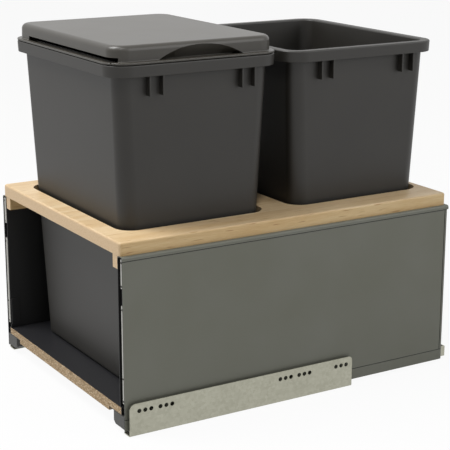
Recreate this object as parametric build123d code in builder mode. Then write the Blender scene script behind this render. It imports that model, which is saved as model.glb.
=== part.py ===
from build123d import *
import os

# Pull-out waste unit for a kitchen base cabinet: a steel-sided drawer on full-extension runners, with
# two bins that hang through a maple frame and a lid on the front bin.
# Seen from the door side, X is to the right, Y to the back and Z up. The origin is the centre of the
# footprint, on the cabinet floor. All sizes are in millimetres.

os.makedirs("parts", exist_ok=True)

# --- Driving dimensions -------------------------------------------------------------------------
# Cabinet and runners
cabinet_width = 409.5  # clear width between the cabinet walls
runner_sheet = 1.5  # steel of all runner members
runner_bend = 2.2  # outer bend radius of the runner members
running_gap = 0.3  # between parts that slide or roll on each other
plate_height = 46.0  # wall plate of the cabinet rail
plate_length = 363.0
plate_setback = 4.5  # front end of the rail, behind the front of the drawer
plate_front_round = 9.5
plate_rear_round = 6.0
rail_jog = 6.0  # the rail's channel stands this much above its flange
channel_width = 18.8  # of the rail's channel, outside
channel_inset = 2.5  # between the drawer profile and the channel inside it
channel_wall_height = 11.0
channel_setback = 19.0  # the channel starts behind the end cap of the drawer side
tail_overhang = 13.0  # rail behind the drawer sides
tail_height = 15.7
tail_length = 12.5
wall_hole_radius = 3.1
wall_hole_pitch = 9.0
wall_hole_count = 3
wall_hole_height = 35.0
wall_hole_first = 28.0  # first group's centre, behind the front of the drawer
wall_hole_groups = (0.0, 32.0, 224.0, 256.0, 320.0)  # 32 mm system
roller_radius = 2.2
roller_length = 9.0
roller_count = 9
roller_pitch = 27.0
roller_play = 0.2
cage_sheet = 1.6
cage_width = 11.4
middle_width = 12.0
middle_height = 8.0
middle_length = 480.0
middle_setback = 30.0
travel = 540.0  # full extension of the drawer

# Drawer sides
side_gap = 6.15  # between the cabinet wall and the outer face of a side
side_thickness = 12.8
side_height = 241.0
side_length = 542.0
side_lift = 7.0  # lower edge of the outer skin above the cabinet floor
side_sheet = 1.0
side_top_round = 3.2
side_fold = 1.3
seam_depth = 0.6
seam_width = 1.1
seam_from_top = 6.3
crease_from_bottom = 16.0
rear_line_setback = 6.5  # upright pressed line, in front of the side's rear edge
rear_round = 5.0  # the outer skin is turned in at the rear
rear_return = 7.5
shelf_reach = 31.3  # how far the shelf under the panel reaches in from the side's inner face
profile_inner_depth = 18.0
profile_outer_depth = 15.0
profile_inset = 5.8  # outer flange of the drawer profile, inside the outer skin
profile_reach = 19.8  # inner flange, in from the side's inner face
cap_depth = 18.0
cap_wall = 1.6
cap_corner_x = 5.2
cap_corner_z = 4.0
cap_base_lift = 1.5

# Front brackets and adjuster caps
bracket_sheet = 1.0
bracket_bend = 1.3
bracket_width = 5.6
bracket_leg = 40.0
bracket_return = 12.0
bracket_setback = 0.8
bracket_hole_radius = 1.5
bracket_pitch = 32.0
bracket_lower_base = 38.0  # above the lower edge of the outer skin
bracket_lower_height = 136.5
bracket_upper_height = 39.6
bracket_top_gap = 3.4  # below the top of the side
bracket_margin = 3.0  # from a bracket's end to its nearest hole
adjuster_length = 14.0
adjuster_height = 42.0
adjuster_base = 5.5  # above the bottom panel
adjuster_setback = 1.5
adjuster_proud = 1.2
adjuster_rim = 2.0

# Boards
board = 16.0
board_top = 38.0  # the bins stand on it
rebate_depth = 6.0
rebate_width = 35.7
board_tongue = 2.7  # the panel's ends reach this far into the sides
board_play = 0.1
back_clearance = 0.4
frame_thickness = 18.0
frame_inset = 5.3  # inside the outer faces of the sides
frame_rear_setback = 2.0
frame_round = 3.0
frame_corner = 5.0
cleat_width = 14.0
cleat_height = 18.5
cleat_setback = 0.5

# Back brackets
back_bracket_sheet = 1.2
back_bracket_reach = 36.0
back_bracket_leg = 27.0
back_bracket_height = 170.0
back_bracket_base = 8.0

# Screws
screw_radius = 1.8
screw_head_radius = 3.6
screw_head_height = 2.2
screw_fit = 0.1
screw_edge_gap = 6.1  # from the shelf's edge to the middle of the panel screws
cleat_screw_length = 17.0
frame_screw_length = 30.0
bottom_screw_length = 9.5
back_screw_length = 14.0

# Bins
bin_foot_gap_left = 33.3  # from the feet of the bins to the sides: they stand off the middle
bin_foot_gap_right = 51.3
bin_foot_gap_front = 44.0  # to the front of the drawer
bin_foot_gap_middle = 74.5
bin_foot_gap_rear = 12.5  # to the back panel
bin_base_corner = 24.0
bin_corner_closing = 4.0  # the corners tighten by this much up to the rim
bin_height = 449.5
bin_draft_x = 0.024  # each wall leans out this much per millimetre of height
bin_draft_y = 0.044
bin_wall = 2.5
bin_foot_round = 6.0
rim_overhang = 11.5
rim_height = 16.0
rim_round = 1.5
frame_play_x = 8.0  # between a bin and its opening in the frame
frame_play_y = 6.0
frame_opening_corner = 26.0
rib_height = 26.5
rib_thickness = 2.4
rib_spacing = 19.6
rib_pair_offset = 70.6
grip_shift = 6.6  # ribs and lid scoop sit this far behind the bin's middle

# Lid
lid_flange = 3.3
lid_height = 24.5  # above the bin's rim
lid_inset_x = 8.5
lid_inset_y = 6.0
lid_draft = 0.5
lid_round = 9.0
lid_wall = 2.5
lid_lip_depth = 6.0
lid_lip_wall = 2.0
lid_lip_play = 1.0
scoop_width = 128.0
scoop_height = 16.0
scoop_depth = 18.0
scoop_inner_width = 100.0
scoop_inner_height = 10.5
slot_height = 4.0
slot_width = 261.0
slot_shift = 19.5
slot_depth = 10.0  # it runs halfway round the right corner of the crown

# --- Places worked out from them ----------------------------------------------------------------
overall_depth = side_length + tail_overhang
front = -overall_depth / 2  # front face of the drawer sides
wall_x = cabinet_width / 2
side_outer_x = wall_x - side_gap
side_inner_x = side_outer_x - side_thickness
side_top = side_lift + side_height
board_base = board_top - board
tongue_base = board_base + rebate_depth
shelf_base = tongue_base - side_sheet
inner_fold = side_fold - side_sheet
board_end_x = side_inner_x + board_tongue
shelf_inner_x = side_inner_x - shelf_reach
frame_top = side_top + frame_thickness
profile_inner_x = side_inner_x - profile_reach
profile_outer_x = side_outer_x - side_sheet - profile_inset
profile_web_base = shelf_base - runner_sheet
channel_inner_x = profile_inner_x + runner_sheet + channel_inset
channel_outer_x = channel_inner_x + channel_width
channel_top = rail_jog + runner_sheet
middle_x = (channel_inner_x + channel_outer_x) / 2
middle_base = channel_top + 2 * roller_radius + 2 * running_gap
lower_roller_z = channel_top + running_gap + roller_radius
upper_roller_z = middle_base + middle_height + running_gap + roller_radius
back_y = front + side_length - board
bin_base_x = 2 * side_inner_x - bin_foot_gap_left - bin_foot_gap_right
bin_shift = (bin_foot_gap_left - bin_foot_gap_right) / 2
bin_base_y = (back_y - front - bin_foot_gap_front - bin_foot_gap_middle - bin_foot_gap_rear) / 2
bin_centre_ys = [
    front + bin_foot_gap_front + bin_base_y / 2,
    back_y - bin_foot_gap_rear - bin_base_y / 2,
]
bin_top = board_top + bin_height
rim_base = bin_top - rim_height


def across(y):
    """Plane that faces the door at this Y, with X to the right and Z up."""
    return Plane.XZ.offset(-y)


def pair(piece, name):
    """Write a right-hand piece and its mirror image for the left."""
    piece.label = f"{name}_r"
    export_step(piece, f"parts/{name}_r.step")
    left = mirror(piece, about=Plane.YZ)
    left.label = f"{name}_l"
    export_step(left, f"parts/{name}_l.step")


def screw(length):
    """Pan-head screw along +Z, with the underside of its head at the origin."""
    with BuildPart() as body:
        with BuildSketch(Plane.XZ):
            with BuildLine():
                Polyline(
                    (0, -screw_head_height),
                    (screw_radius, -screw_head_height),
                    (screw_head_radius, screw_fit - screw_head_height / 2),
                    (screw_head_radius, 0),
                    (screw_radius, 0),
                    (screw_radius, length - 2 * screw_radius),
                    (0, length),
                    close=True,
                )
            make_face()
        revolve(axis=Axis.Z)
    return body.part


# --- Cabinet rail: wall plate, flange and runner channel folded from one sheet ------------------
with BuildPart() as cabinet_rail:
    with BuildSketch(across(front + plate_setback)):
        with BuildLine():
            FilletPolyline(
                (wall_x, plate_height),
                (wall_x, 0),
                (channel_outer_x - runner_sheet, 0),
                (channel_outer_x - runner_sheet, rail_jog),
                (channel_inner_x, rail_jog),
                (channel_inner_x, rail_jog + channel_wall_height),
                radius=[runner_bend, runner_bend, runner_sheet, runner_bend],
            )
            offset(amount=runner_sheet, side=Side.RIGHT)
        make_face()
    extrude(amount=-(side_length + tail_overhang - plate_setback))
    # behind the wall plate only the channel goes on
    with BuildSketch(across(front + plate_setback + plate_length)):
        with Locations((channel_outer_x, 0)):
            Rectangle(wall_x, 2 * plate_height, align=(Align.MIN, Align.CENTER))
        with Locations((0, rail_jog)):
            Rectangle(wall_x, rail_jog, align=(Align.MIN, Align.MAX))
    extrude(amount=-overall_depth, mode=Mode.SUBTRACT)
    # the channel leaves room for the end cap of the drawer side
    with BuildSketch(across(front + plate_setback)):
        with Locations((channel_outer_x, runner_sheet)):
            Rectangle(2 * channel_width, plate_height, align=(Align.MAX, Align.MIN))
    extrude(amount=-(channel_setback - plate_setback), mode=Mode.SUBTRACT)
    # upturned tail, seen behind the drawer
    with BuildSketch(across(front + overall_depth - tail_length)):
        with Locations((channel_outer_x, rail_jog)):
            Rectangle(runner_sheet, tail_height, align=(Align.MAX, Align.MIN))
    extrude(amount=-tail_length)
    with BuildSketch(across(front + overall_depth - runner_sheet)):
        with Locations((channel_outer_x, rail_jog)):
            Rectangle(channel_width, tail_height, align=(Align.MAX, Align.MIN))
    extrude(amount=-runner_sheet)
    # rounded upper corners of the wall plate
    plate_edges = cabinet_rail.edges().filter_by(Axis.X).group_by(Axis.Z)[-1].sort_by(Axis.Y)
    fillet(plate_edges[0], plate_front_round)
    plate_edges = cabinet_rail.edges().filter_by(Axis.X).group_by(Axis.Z)[-1].sort_by(Axis.Y)
    fillet(plate_edges[-1], plate_rear_round)
    # groups of three holes for the cabinet wall
    with BuildSketch(Plane.YZ.offset(wall_x)):
        for group in wall_hole_groups:
            with Locations((front + wall_hole_first + group, wall_hole_height)):
                with GridLocations(wall_hole_pitch, 1, wall_hole_count, 1):
                    Circle(wall_hole_radius)
    extrude(amount=-2 * runner_sheet, mode=Mode.SUBTRACT)
pair(cabinet_rail.part, "cabinet_rail")

# --- Middle profile: C-shaped member between the two roller carriages ---------------------------
with BuildPart() as middle_profile:
    with BuildSketch(across(front + middle_setback)):
        with BuildLine():
            FilletPolyline(
                (middle_x + middle_width / 2, middle_base + middle_height),
                (middle_x - middle_width / 2, middle_base + middle_height),
                (middle_x - middle_width / 2, middle_base),
                (middle_x + middle_width / 2, middle_base),
                radius=runner_bend,
            )
            offset(amount=runner_sheet, side=Side.LEFT)
        make_face()
    extrude(amount=-middle_length)
pair(middle_profile.part, "middle_profile")

# --- Drawer profile: inverted channel under the side's shelf -----------------------------------
with BuildPart() as drawer_profile:
    with BuildSketch(across(front + cap_depth)):
        with BuildLine():
            FilletPolyline(
                (profile_inner_x, shelf_base - profile_inner_depth),
                (profile_inner_x, shelf_base),
                (profile_outer_x, shelf_base),
                (profile_outer_x, shelf_base - profile_outer_depth),
                radius=runner_bend,
            )
            offset(amount=runner_sheet, side=Side.RIGHT)
        make_face()
    extrude(amount=-(side_length - cap_depth - board / 2))
pair(drawer_profile.part, "drawer_profile")

# --- Roller carriages: a punched cage with a row of rollers, below and above the middle profile --
# The lower one runs a quarter of the drawer's way and the upper one three quarters, so each is placed
# where it still lies between its two members when the drawer is fully out.
cage_length = (roller_count - 1) * roller_pitch + 4 * roller_radius
lower_centre_y = front + (travel / 4 + plate_setback + middle_setback + middle_length - travel / 4) / 2
upper_centre_y = lower_centre_y + middle_setback - plate_setback
carriages = {"lower": (lower_centre_y, lower_roller_z), "upper": (upper_centre_y, upper_roller_z)}
for level, (centre_y, centre_z) in carriages.items():
    with BuildPart() as cage:
        with BuildSketch(Plane.XY.offset(centre_z - cage_sheet / 2)):
            with Locations((middle_x, centre_y)):
                RectangleRounded(cage_width, cage_length, cage_sheet)
                with GridLocations(1, roller_pitch, 1, roller_count):
                    Rectangle(
                        roller_length + 2 * roller_play,
                        2 * (roller_radius + roller_play),
                        mode=Mode.SUBTRACT,
                    )
        extrude(amount=cage_sheet)
    pair(cage.part, f"{level}_cage")

    with BuildPart() as rollers:
        with BuildSketch(Plane.YZ.offset(middle_x - roller_length / 2)):
            with Locations((centre_y, centre_z)):
                with GridLocations(roller_pitch, 1, roller_count, 1):
                    Circle(roller_radius)
        extrude(amount=roller_length)
    pair(rollers.part, f"{level}_rollers")

# --- Drawer side: outer skin, top bead, inner skin, foot and shelf, folded from one sheet --------
bracket_x = side_outer_x - side_sheet - bracket_width / 2
bottom_screw_x = shelf_inner_x + screw_edge_gap
bottom_screw_ys = [front + side_length * share for share in (0.11, 0.37, 0.63, 0.89)]
cleat_screw_ys = [front + side_length * share for share in (0.1, 0.45, 0.85)]
cleat_screw_z = side_top - cleat_height / 2
adjuster_z = board_top + adjuster_base + adjuster_height / 2
adjuster_y = front + adjuster_setback + adjuster_length / 2

with BuildPart() as drawer_side:
    with BuildSketch(across(front)):
        with BuildLine():
            FilletPolyline(
                (side_outer_x, side_lift),
                (side_outer_x, side_top),
                (side_inner_x, side_top),
                (side_inner_x, board_top + board_play),
                (board_end_x + inner_fold, board_top + board_play),
                (board_end_x + inner_fold, tongue_base),
                (shelf_inner_x, tongue_base),
                radius=[side_top_round, side_top_round, side_fold, inner_fold, inner_fold],
            )
            offset(amount=side_sheet, side=Side.RIGHT)
        make_face()
    extrude(amount=-side_length)
    # the outer skin is turned in at the rear
    with BuildSketch(Plane.XY.offset(side_lift)):
        with Locations((side_outer_x, front + side_length)):
            Rectangle(3 * side_sheet, rear_round, align=(Align.CENTER, Align.MAX))
    extrude(amount=side_height - seam_from_top, mode=Mode.SUBTRACT)
    with BuildSketch(Plane.XY.offset(side_lift)):
        with BuildLine():
            FilletPolyline(
                (side_outer_x, front + side_length - rear_line_setback),
                (side_outer_x, front + side_length),
                (side_outer_x - rear_return, front + side_length),
                radius=rear_round,
            )
            offset(amount=side_sheet, side=Side.LEFT)
        make_face()
    extrude(amount=side_height - seam_from_top)
    # pressed lines along the outer face
    with BuildSketch(across(front)):
        for z in (side_top - seam_from_top, side_lift + crease_from_bottom):
            with Locations((side_outer_x, z)):
                Rectangle(2 * seam_depth, seam_width)
    extrude(amount=-side_length, mode=Mode.SUBTRACT)
    with BuildSketch(Plane.YZ.offset(side_outer_x - seam_depth)):
        with Locations((front + side_length - rear_line_setback, side_lift + crease_from_bottom)):
            Rectangle(
                seam_width,
                side_height - crease_from_bottom - seam_from_top,
                align=(Align.CENTER, Align.MIN),
            )
    extrude(amount=2 * seam_depth, mode=Mode.SUBTRACT)
    # window for the front adjuster
    with BuildSketch(Plane.YZ.offset(side_inner_x - side_sheet)):
        with Locations((adjuster_y, adjuster_z)):
            RectangleRounded(
                adjuster_length - 2 * adjuster_rim, adjuster_height - 2 * adjuster_rim, adjuster_rim
            )
    extrude(amount=3 * side_sheet, mode=Mode.SUBTRACT)
    # screw holes: cleats through the inner skin, panel through the shelf
    with BuildSketch(Plane.YZ.offset(side_inner_x - side_sheet)):
        with Locations(*[(y, cleat_screw_z) for y in cleat_screw_ys]):
            Circle(screw_radius + screw_fit)
    extrude(amount=3 * side_sheet, mode=Mode.SUBTRACT)
    with BuildSketch(Plane.XY.offset(shelf_base - side_sheet)):
        with Locations(*[(bottom_screw_x, y) for y in bottom_screw_ys]):
            Circle(screw_radius + screw_fit)
    extrude(amount=3 * side_sheet, mode=Mode.SUBTRACT)
pair(drawer_side.part, "drawer_side")

# --- End cap of the side's lower channel --------------------------------------------------------
cap_base = side_lift + cap_base_lift
with BuildPart() as side_end_cap:
    with BuildSketch(across(front)) as cap_outline:
        with BuildLine():
            Polyline(
                (profile_inner_x, shelf_base),
                (profile_inner_x, cap_base + cap_corner_z),
                (profile_inner_x + cap_corner_x, cap_base),
                (side_outer_x - side_sheet - roller_play, cap_base),
                (side_outer_x - side_sheet - roller_play, shelf_base),
                close=True,
            )
        make_face()
    extrude(amount=-cap_depth)
    with BuildSketch(across(front + cap_wall)):
        add(cap_outline.sketch.moved(Location((0, cap_wall, 0))))
        offset(amount=-cap_wall, mode=Mode.REPLACE)
    extrude(amount=-cap_depth, mode=Mode.SUBTRACT)
    fillet(side_end_cap.faces().sort_by(Axis.Y)[0].outer_wire().edges(), cap_wall / 2)
pair(side_end_cap.part, "side_end_cap")

# --- Front brackets in the open ends of the sides: they take the door front ---------------------
bracket_spans = {
    "lower": (side_lift + bracket_lower_base, bracket_lower_height),
    "upper": (side_top - bracket_top_gap - bracket_upper_height, bracket_upper_height),
}
bracket_y = front + bracket_setback
bracket_outer_x = side_outer_x - side_sheet
for level, (base, height) in bracket_spans.items():
    hole_zs = [base + bracket_margin, base + bracket_margin + bracket_pitch]
    if level == "lower":
        hole_zs.append(bracket_spans["upper"][0] + bracket_margin - bracket_pitch)
    with BuildPart() as front_bracket:
        with BuildSketch(Plane.XY.offset(base)):
            with BuildLine():
                FilletPolyline(
                    (bracket_outer_x, bracket_y + bracket_leg),
                    (bracket_outer_x, bracket_y),
                    (bracket_outer_x - bracket_width, bracket_y),
                    (bracket_outer_x - bracket_width, bracket_y + bracket_return),
                    radius=bracket_bend,
                )
                offset(amount=bracket_sheet, side=Side.RIGHT)
            make_face()
        extrude(amount=height)
        with BuildSketch(across(bracket_y - bracket_sheet)):
            with Locations(*[(bracket_x, z) for z in hole_zs]):
                Circle(bracket_hole_radius)
        extrude(amount=-3 * bracket_sheet, mode=Mode.SUBTRACT)
    pair(front_bracket.part, f"front_bracket_{level}")

# --- Cover cap over the front adjuster, clipped into the inner skin ------------------------------
with BuildPart() as cover_cap:
    with BuildSketch(Plane.YZ.offset(side_inner_x - adjuster_proud)):
        with Locations((adjuster_y, adjuster_z)):
            RectangleRounded(adjuster_length, adjuster_height, adjuster_rim)
    extrude(amount=adjuster_proud)
    fillet(cover_cap.faces().sort_by(Axis.X)[0].edges(), adjuster_proud / 2)
    with BuildSketch(Plane.YZ.offset(side_inner_x)):
        with Locations((adjuster_y, adjuster_z)):
            plug_inset = 2 * (adjuster_rim + roller_play)
            RectangleRounded(adjuster_length - plug_inset, adjuster_height - plug_inset, adjuster_rim)
    extrude(amount=2 * side_sheet)
pair(cover_cap.part, "cover_cap")

# --- Bottom panel, rebated underneath at both ends -----------------------------------------------
with BuildPart() as bottom_panel:
    with BuildSketch(across(front)):
        with Locations((0, board_base)):
            Rectangle(2 * board_end_x, board, align=(Align.CENTER, Align.MIN))
        for sign in (-1, 1):
            with Locations((sign * (board_end_x - rebate_width / 2), board_base)):
                Rectangle(rebate_width, 2 * rebate_depth, mode=Mode.SUBTRACT)
    extrude(amount=-side_length)
    with BuildSketch(Plane.XY.offset(tongue_base)):
        with Locations(*[(sign * bottom_screw_x, y) for sign in (-1, 1) for y in bottom_screw_ys]):
            Circle(screw_radius + screw_fit)
    extrude(amount=bottom_screw_length, mode=Mode.SUBTRACT)
bottom_panel.part.label = "bottom_panel"
export_step(bottom_panel.part, "parts/bottom_panel.step")

# --- Back panel between the sides, and the brackets that hold it ---------------------------------
bracket_plate_y = front + side_length + back_bracket_sheet
back_screw_x = side_inner_x - back_bracket_reach / 2
back_screw_zs = [board_top + back_bracket_base + back_bracket_height * share for share in (0.15, 0.5, 0.85)]

with BuildPart() as back_panel:
    with BuildSketch(across(back_y)):
        with Locations((0, board_top)):
            Rectangle(
                2 * (side_inner_x - back_clearance),
                side_top - board_top,
                align=(Align.CENTER, Align.MIN),
            )
        with Locations(*[(sign * back_screw_x, z) for sign in (-1, 1) for z in back_screw_zs]):
            Circle(screw_radius + screw_fit, mode=Mode.SUBTRACT)
    extrude(amount=-board)
back_panel.part.label = "back_panel"
export_step(back_panel.part, "parts/back_panel.step")

with BuildPart() as back_bracket:
    with BuildSketch(Plane.XY.offset(board_top + back_bracket_base)):
        with BuildLine():
            leg_x = side_inner_x + side_sheet + running_gap + back_bracket_sheet
            FilletPolyline(
                (side_inner_x - back_bracket_reach, bracket_plate_y),
                (leg_x, bracket_plate_y),
                (leg_x, bracket_plate_y - back_bracket_leg),
                radius=runner_sheet,
            )
            offset(amount=back_bracket_sheet, side=Side.RIGHT)
        make_face()
    extrude(amount=back_bracket_height)
    with BuildSketch(across(bracket_plate_y - 2 * back_bracket_sheet)):
        with Locations(*[(back_screw_x, z) for z in back_screw_zs]):
            Circle(screw_radius + screw_fit)
    extrude(amount=-3 * back_bracket_sheet, mode=Mode.SUBTRACT)
pair(back_bracket.part, "back_bracket")

# --- Maple frame with one opening for each bin, and its cleats ------------------------------------
frame_depth = side_length - frame_rear_setback
lift_to_frame = frame_top - board_top
opening_x = bin_base_x + 2 * (bin_draft_x * lift_to_frame + frame_play_x)
opening_y = bin_base_y + 2 * (bin_draft_y * lift_to_frame + frame_play_y)
cleat_x = side_inner_x - cleat_width / 2
frame_screw_ys = [front + side_length * share for share in (0.06, 0.5, 0.92)]

with BuildPart() as top_frame:
    with BuildSketch(Plane.XY.offset(side_top)):
        with Locations((0, front)):
            Rectangle(2 * (side_outer_x - frame_inset), frame_depth, align=(Align.CENTER, Align.MIN))
    extrude(amount=frame_thickness)
    fillet(top_frame.edges().filter_by(Axis.Z), frame_corner)
    fillet(top_frame.faces().sort_by(Axis.Z)[-1].edges(), frame_round)
    with BuildSketch(Plane.XY.offset(side_top)):
        with Locations(*[(bin_shift, y) for y in bin_centre_ys]):
            RectangleRounded(opening_x, opening_y, frame_opening_corner)
    extrude(amount=frame_thickness, mode=Mode.SUBTRACT)
    with BuildSketch(Plane.XY.offset(side_top)):
        with Locations(*[(sign * cleat_x, y) for sign in (-1, 1) for y in frame_screw_ys]):
            Circle(screw_radius + screw_fit)
    extrude(amount=frame_screw_length - cleat_height + screw_fit, mode=Mode.SUBTRACT)
top_frame.part.label = "top_frame"
export_step(top_frame.part, "parts/top_frame.step")

with BuildPart() as cleat:
    with BuildSketch(Plane.XY.offset(side_top - cleat_height)):
        with Locations((side_inner_x, front + cleat_setback)):
            Rectangle(cleat_width, back_y - front - cleat_setback, align=(Align.MAX, Align.MIN))
        with Locations(*[(cleat_x, y) for y in frame_screw_ys]):
            Circle(screw_radius + screw_fit, mode=Mode.SUBTRACT)
    extrude(amount=cleat_height)
    with BuildSketch(Plane.YZ.offset(side_inner_x - cleat_width)):
        with Locations(*[(y, cleat_screw_z) for y in cleat_screw_ys]):
            Circle(screw_radius + screw_fit)
    extrude(amount=cleat_width, mode=Mode.SUBTRACT)
pair(cleat.part, "cleat")

# --- Screws, one node for each kind ---------------------------------------------------------------
both_sides = (-1, 1)
bottom_screws = Part(
    children=[
        screw(bottom_screw_length).moved(Location((sign * bottom_screw_x, y, shelf_base)))
        for sign in both_sides
        for y in bottom_screw_ys
    ]
)
frame_screws = Part(
    children=[
        screw(frame_screw_length).moved(Location((sign * cleat_x, y, side_top - cleat_height)))
        for sign in both_sides
        for y in frame_screw_ys
    ]
)
cleat_screws = Part(
    children=[
        screw(cleat_screw_length).moved(
            Location((sign * (side_inner_x - cleat_width), y, cleat_screw_z), (0, sign * 90, 0))
        )
        for sign in both_sides
        for y in cleat_screw_ys
    ]
)
back_screws = Part(
    children=[
        screw(back_screw_length).moved(Location((sign * back_screw_x, bracket_plate_y, z), (90, 0, 0)))
        for sign in both_sides
        for z in back_screw_zs
    ]
)
screw_groups = {
    "bottom_screws": bottom_screws,
    "frame_screws": frame_screws,
    "cleat_screws": cleat_screws,
    "back_screws": back_screws,
}
for name, group in screw_groups.items():
    group.label = name
    export_step(group, f"parts/{name}.step")


# --- Bins -----------------------------------------------------------------------------------------
def bin_section(height, inset=0.0):
    """Size and corner radius of the bin's outer wall at a height above its foot, less an inset."""
    width = bin_base_x + 2 * (bin_draft_x * height - inset)
    depth = bin_base_y + 2 * (bin_draft_y * height - inset)
    corner = bin_base_corner - bin_corner_closing * height / bin_height - inset
    return width, depth, corner


rim_x, rim_y, rim_corner = bin_section(bin_height, -rim_overhang)
for name, centre_y in zip(("bin_front", "bin_rear"), bin_centre_ys):
    with BuildPart() as waste_bin:
        for height in (0, bin_height):
            with BuildSketch(Plane.XY.offset(board_top + height)):
                with Locations((bin_shift, centre_y)):
                    RectangleRounded(*bin_section(height))
        loft()
        fillet(waste_bin.faces().sort_by(Axis.Z)[0].edges(), bin_foot_round)
        # turned-down rim
        with BuildSketch(Plane.XY.offset(rim_base)):
            with Locations((bin_shift, centre_y)):
                RectangleRounded(rim_x, rim_y, rim_corner)
        extrude(amount=rim_height)
        fillet(waste_bin.faces().sort_by(Axis.Z)[-1].outer_wire().edges(), rim_round)
        with BuildSketch(Plane.XY.offset(rim_base)):
            with Locations((bin_shift, centre_y)):
                RectangleRounded(rim_x - 2 * bin_wall, rim_y - 2 * bin_wall, rim_corner - bin_wall)
                RectangleRounded(*bin_section(bin_height - rim_height / 2), mode=Mode.SUBTRACT)
        extrude(amount=rim_height - bin_wall, mode=Mode.SUBTRACT)
        # pairs of ribs under the rim on both short sides
        rib_z = rim_base - rib_height
        with BuildSketch(Plane.XY.offset(rib_z)):
            with Locations((bin_shift, centre_y + grip_shift)):
                with GridLocations(1, 2 * rib_pair_offset, 1, 2):
                    with GridLocations(1, rib_spacing, 1, 2):
                        Rectangle(rim_x - 2 * bin_wall, rib_thickness)
        extrude(amount=rib_height + rim_height - bin_wall)
        # hollow inside
        for height in (bin_wall, bin_height):
            with BuildSketch(Plane.XY.offset(board_top + height)):
                with Locations((bin_shift, centre_y)):
                    RectangleRounded(*bin_section(height, bin_wall))
        loft(mode=Mode.SUBTRACT)
    waste_bin.part.label = name
    export_step(waste_bin.part, f"parts/{name}.step")

# --- Lid: flange on the rim, raised crown with a finger scoop, and a lip inside the bin -----------
lid_y = bin_centre_ys[0]
crown_base = bin_top + lid_flange
crown_top = bin_top + lid_height
crown_x = rim_x - 2 * lid_inset_x
crown_y = rim_y - 2 * lid_inset_y
crown_corner = rim_corner - (lid_inset_x + lid_inset_y) / 2
crown_outer_x = bin_shift + crown_x / 2
cavity_round = lid_round - lid_wall
mouth_x, mouth_y, mouth_corner = bin_section(bin_height - lid_lip_depth, bin_wall + lid_lip_play)
scoop_y = lid_y + grip_shift


def scoop(outer_x, margin):
    """Finger scoop that narrows inwards from outer_x, larger all round by a margin."""
    inner_x = crown_outer_x - scoop_depth - margin
    foot_z = crown_base - margin
    with BuildPart() as body:
        for x, width, height in (
            (outer_x, scoop_width, scoop_height),
            (inner_x, scoop_inner_width, scoop_inner_height),
        ):
            reach = width / 2 + 2 * margin
            with BuildSketch(Plane.YZ.offset(x)):
                with BuildLine():
                    ThreePointArc(
                        (scoop_y - reach, foot_z),
                        (scoop_y, crown_base + height + margin),
                        (scoop_y + reach, foot_z),
                    )
                    Line((scoop_y + reach, foot_z), (scoop_y - reach, foot_z))
                make_face()
        loft()
    return body.part


with BuildPart() as crown_cavity:
    for z, inset in ((crown_base - lid_flange / 2, lid_wall), (crown_top - lid_wall, lid_draft + lid_wall)):
        with BuildSketch(Plane.XY.offset(z)):
            with Locations((bin_shift, lid_y)):
                RectangleRounded(crown_x - 2 * inset, crown_y - 2 * inset, crown_corner - inset)
    loft()
    fillet(crown_cavity.faces().sort_by(Axis.Z)[-1].edges(), cavity_round)

with BuildPart() as lid:
    with BuildSketch(Plane.XY.offset(bin_top)):
        with Locations((bin_shift, lid_y)):
            RectangleRounded(rim_x, rim_y, rim_corner)
    extrude(amount=lid_flange)
    fillet(lid.edges().filter_by(Axis.Z, reverse=True), lid_flange / 3)
    for z, lean in ((crown_base, 0), (crown_top, lid_draft)):
        with BuildSketch(Plane.XY.offset(z)):
            with Locations((bin_shift, lid_y)):
                RectangleRounded(crown_x - 2 * lean, crown_y - 2 * lean, crown_corner - lean)
    loft()
    fillet(lid.faces().sort_by(Axis.Z)[-1].edges(), lid_round)
    # lip inside the mouth of the bin
    with BuildSketch(Plane.XY.offset(bin_top - lid_lip_depth)):
        with Locations((bin_shift, lid_y)):
            RectangleRounded(mouth_x, mouth_y, mouth_corner)
    extrude(amount=lid_lip_depth)
    # hollow underneath
    hollow_levels = (
        (bin_top - lid_lip_depth, lid_lip_wall, mouth_x, mouth_y, mouth_corner),
        (crown_base, lid_lip_wall, mouth_x, mouth_y, mouth_corner),
    )
    for z, inset, width, depth, corner in hollow_levels:
        with BuildSketch(Plane.XY.offset(z)):
            with Locations((bin_shift, lid_y)):
                RectangleRounded(width - 2 * inset, depth - 2 * inset, corner - inset)
    loft(mode=Mode.SUBTRACT)
    add(crown_cavity.part, mode=Mode.SUBTRACT)
    # arched finger scoop in the right wall, closed towards the inside
    add(scoop(crown_outer_x - lid_wall / 2 - lid_draft, lid_wall))
    add(scoop(crown_outer_x + lid_wall, 0), mode=Mode.SUBTRACT)
    # slot between crown and flange along the front
    with BuildSketch(across(lid_y - crown_y / 2 - lid_wall)):
        with Locations((bin_shift + slot_shift, crown_base)):
            Rectangle(slot_width, slot_height, align=(Align.CENTER, Align.MIN))
    extrude(amount=-(lid_wall + slot_depth), mode=Mode.SUBTRACT)
lid.part.label = "lid"
export_step(lid.part, "parts/lid.step")
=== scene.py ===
# %% [markdown]
# # A pull-out waste unit, dressed for the camera
# A steel-sided drawer stands on its runners. Two tall moulded bins hang through a maple frame on top
# of it, and the front bin has a lid. The solid model comes in from a packed file and gives every place
# and size. This lesson puts a real finish on each part, and makes the moulded pieces and the screws
# again with smoother surfaces.

# %% Start
import math

import bmesh
import bpy
from mathutils import Matrix, Vector


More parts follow.
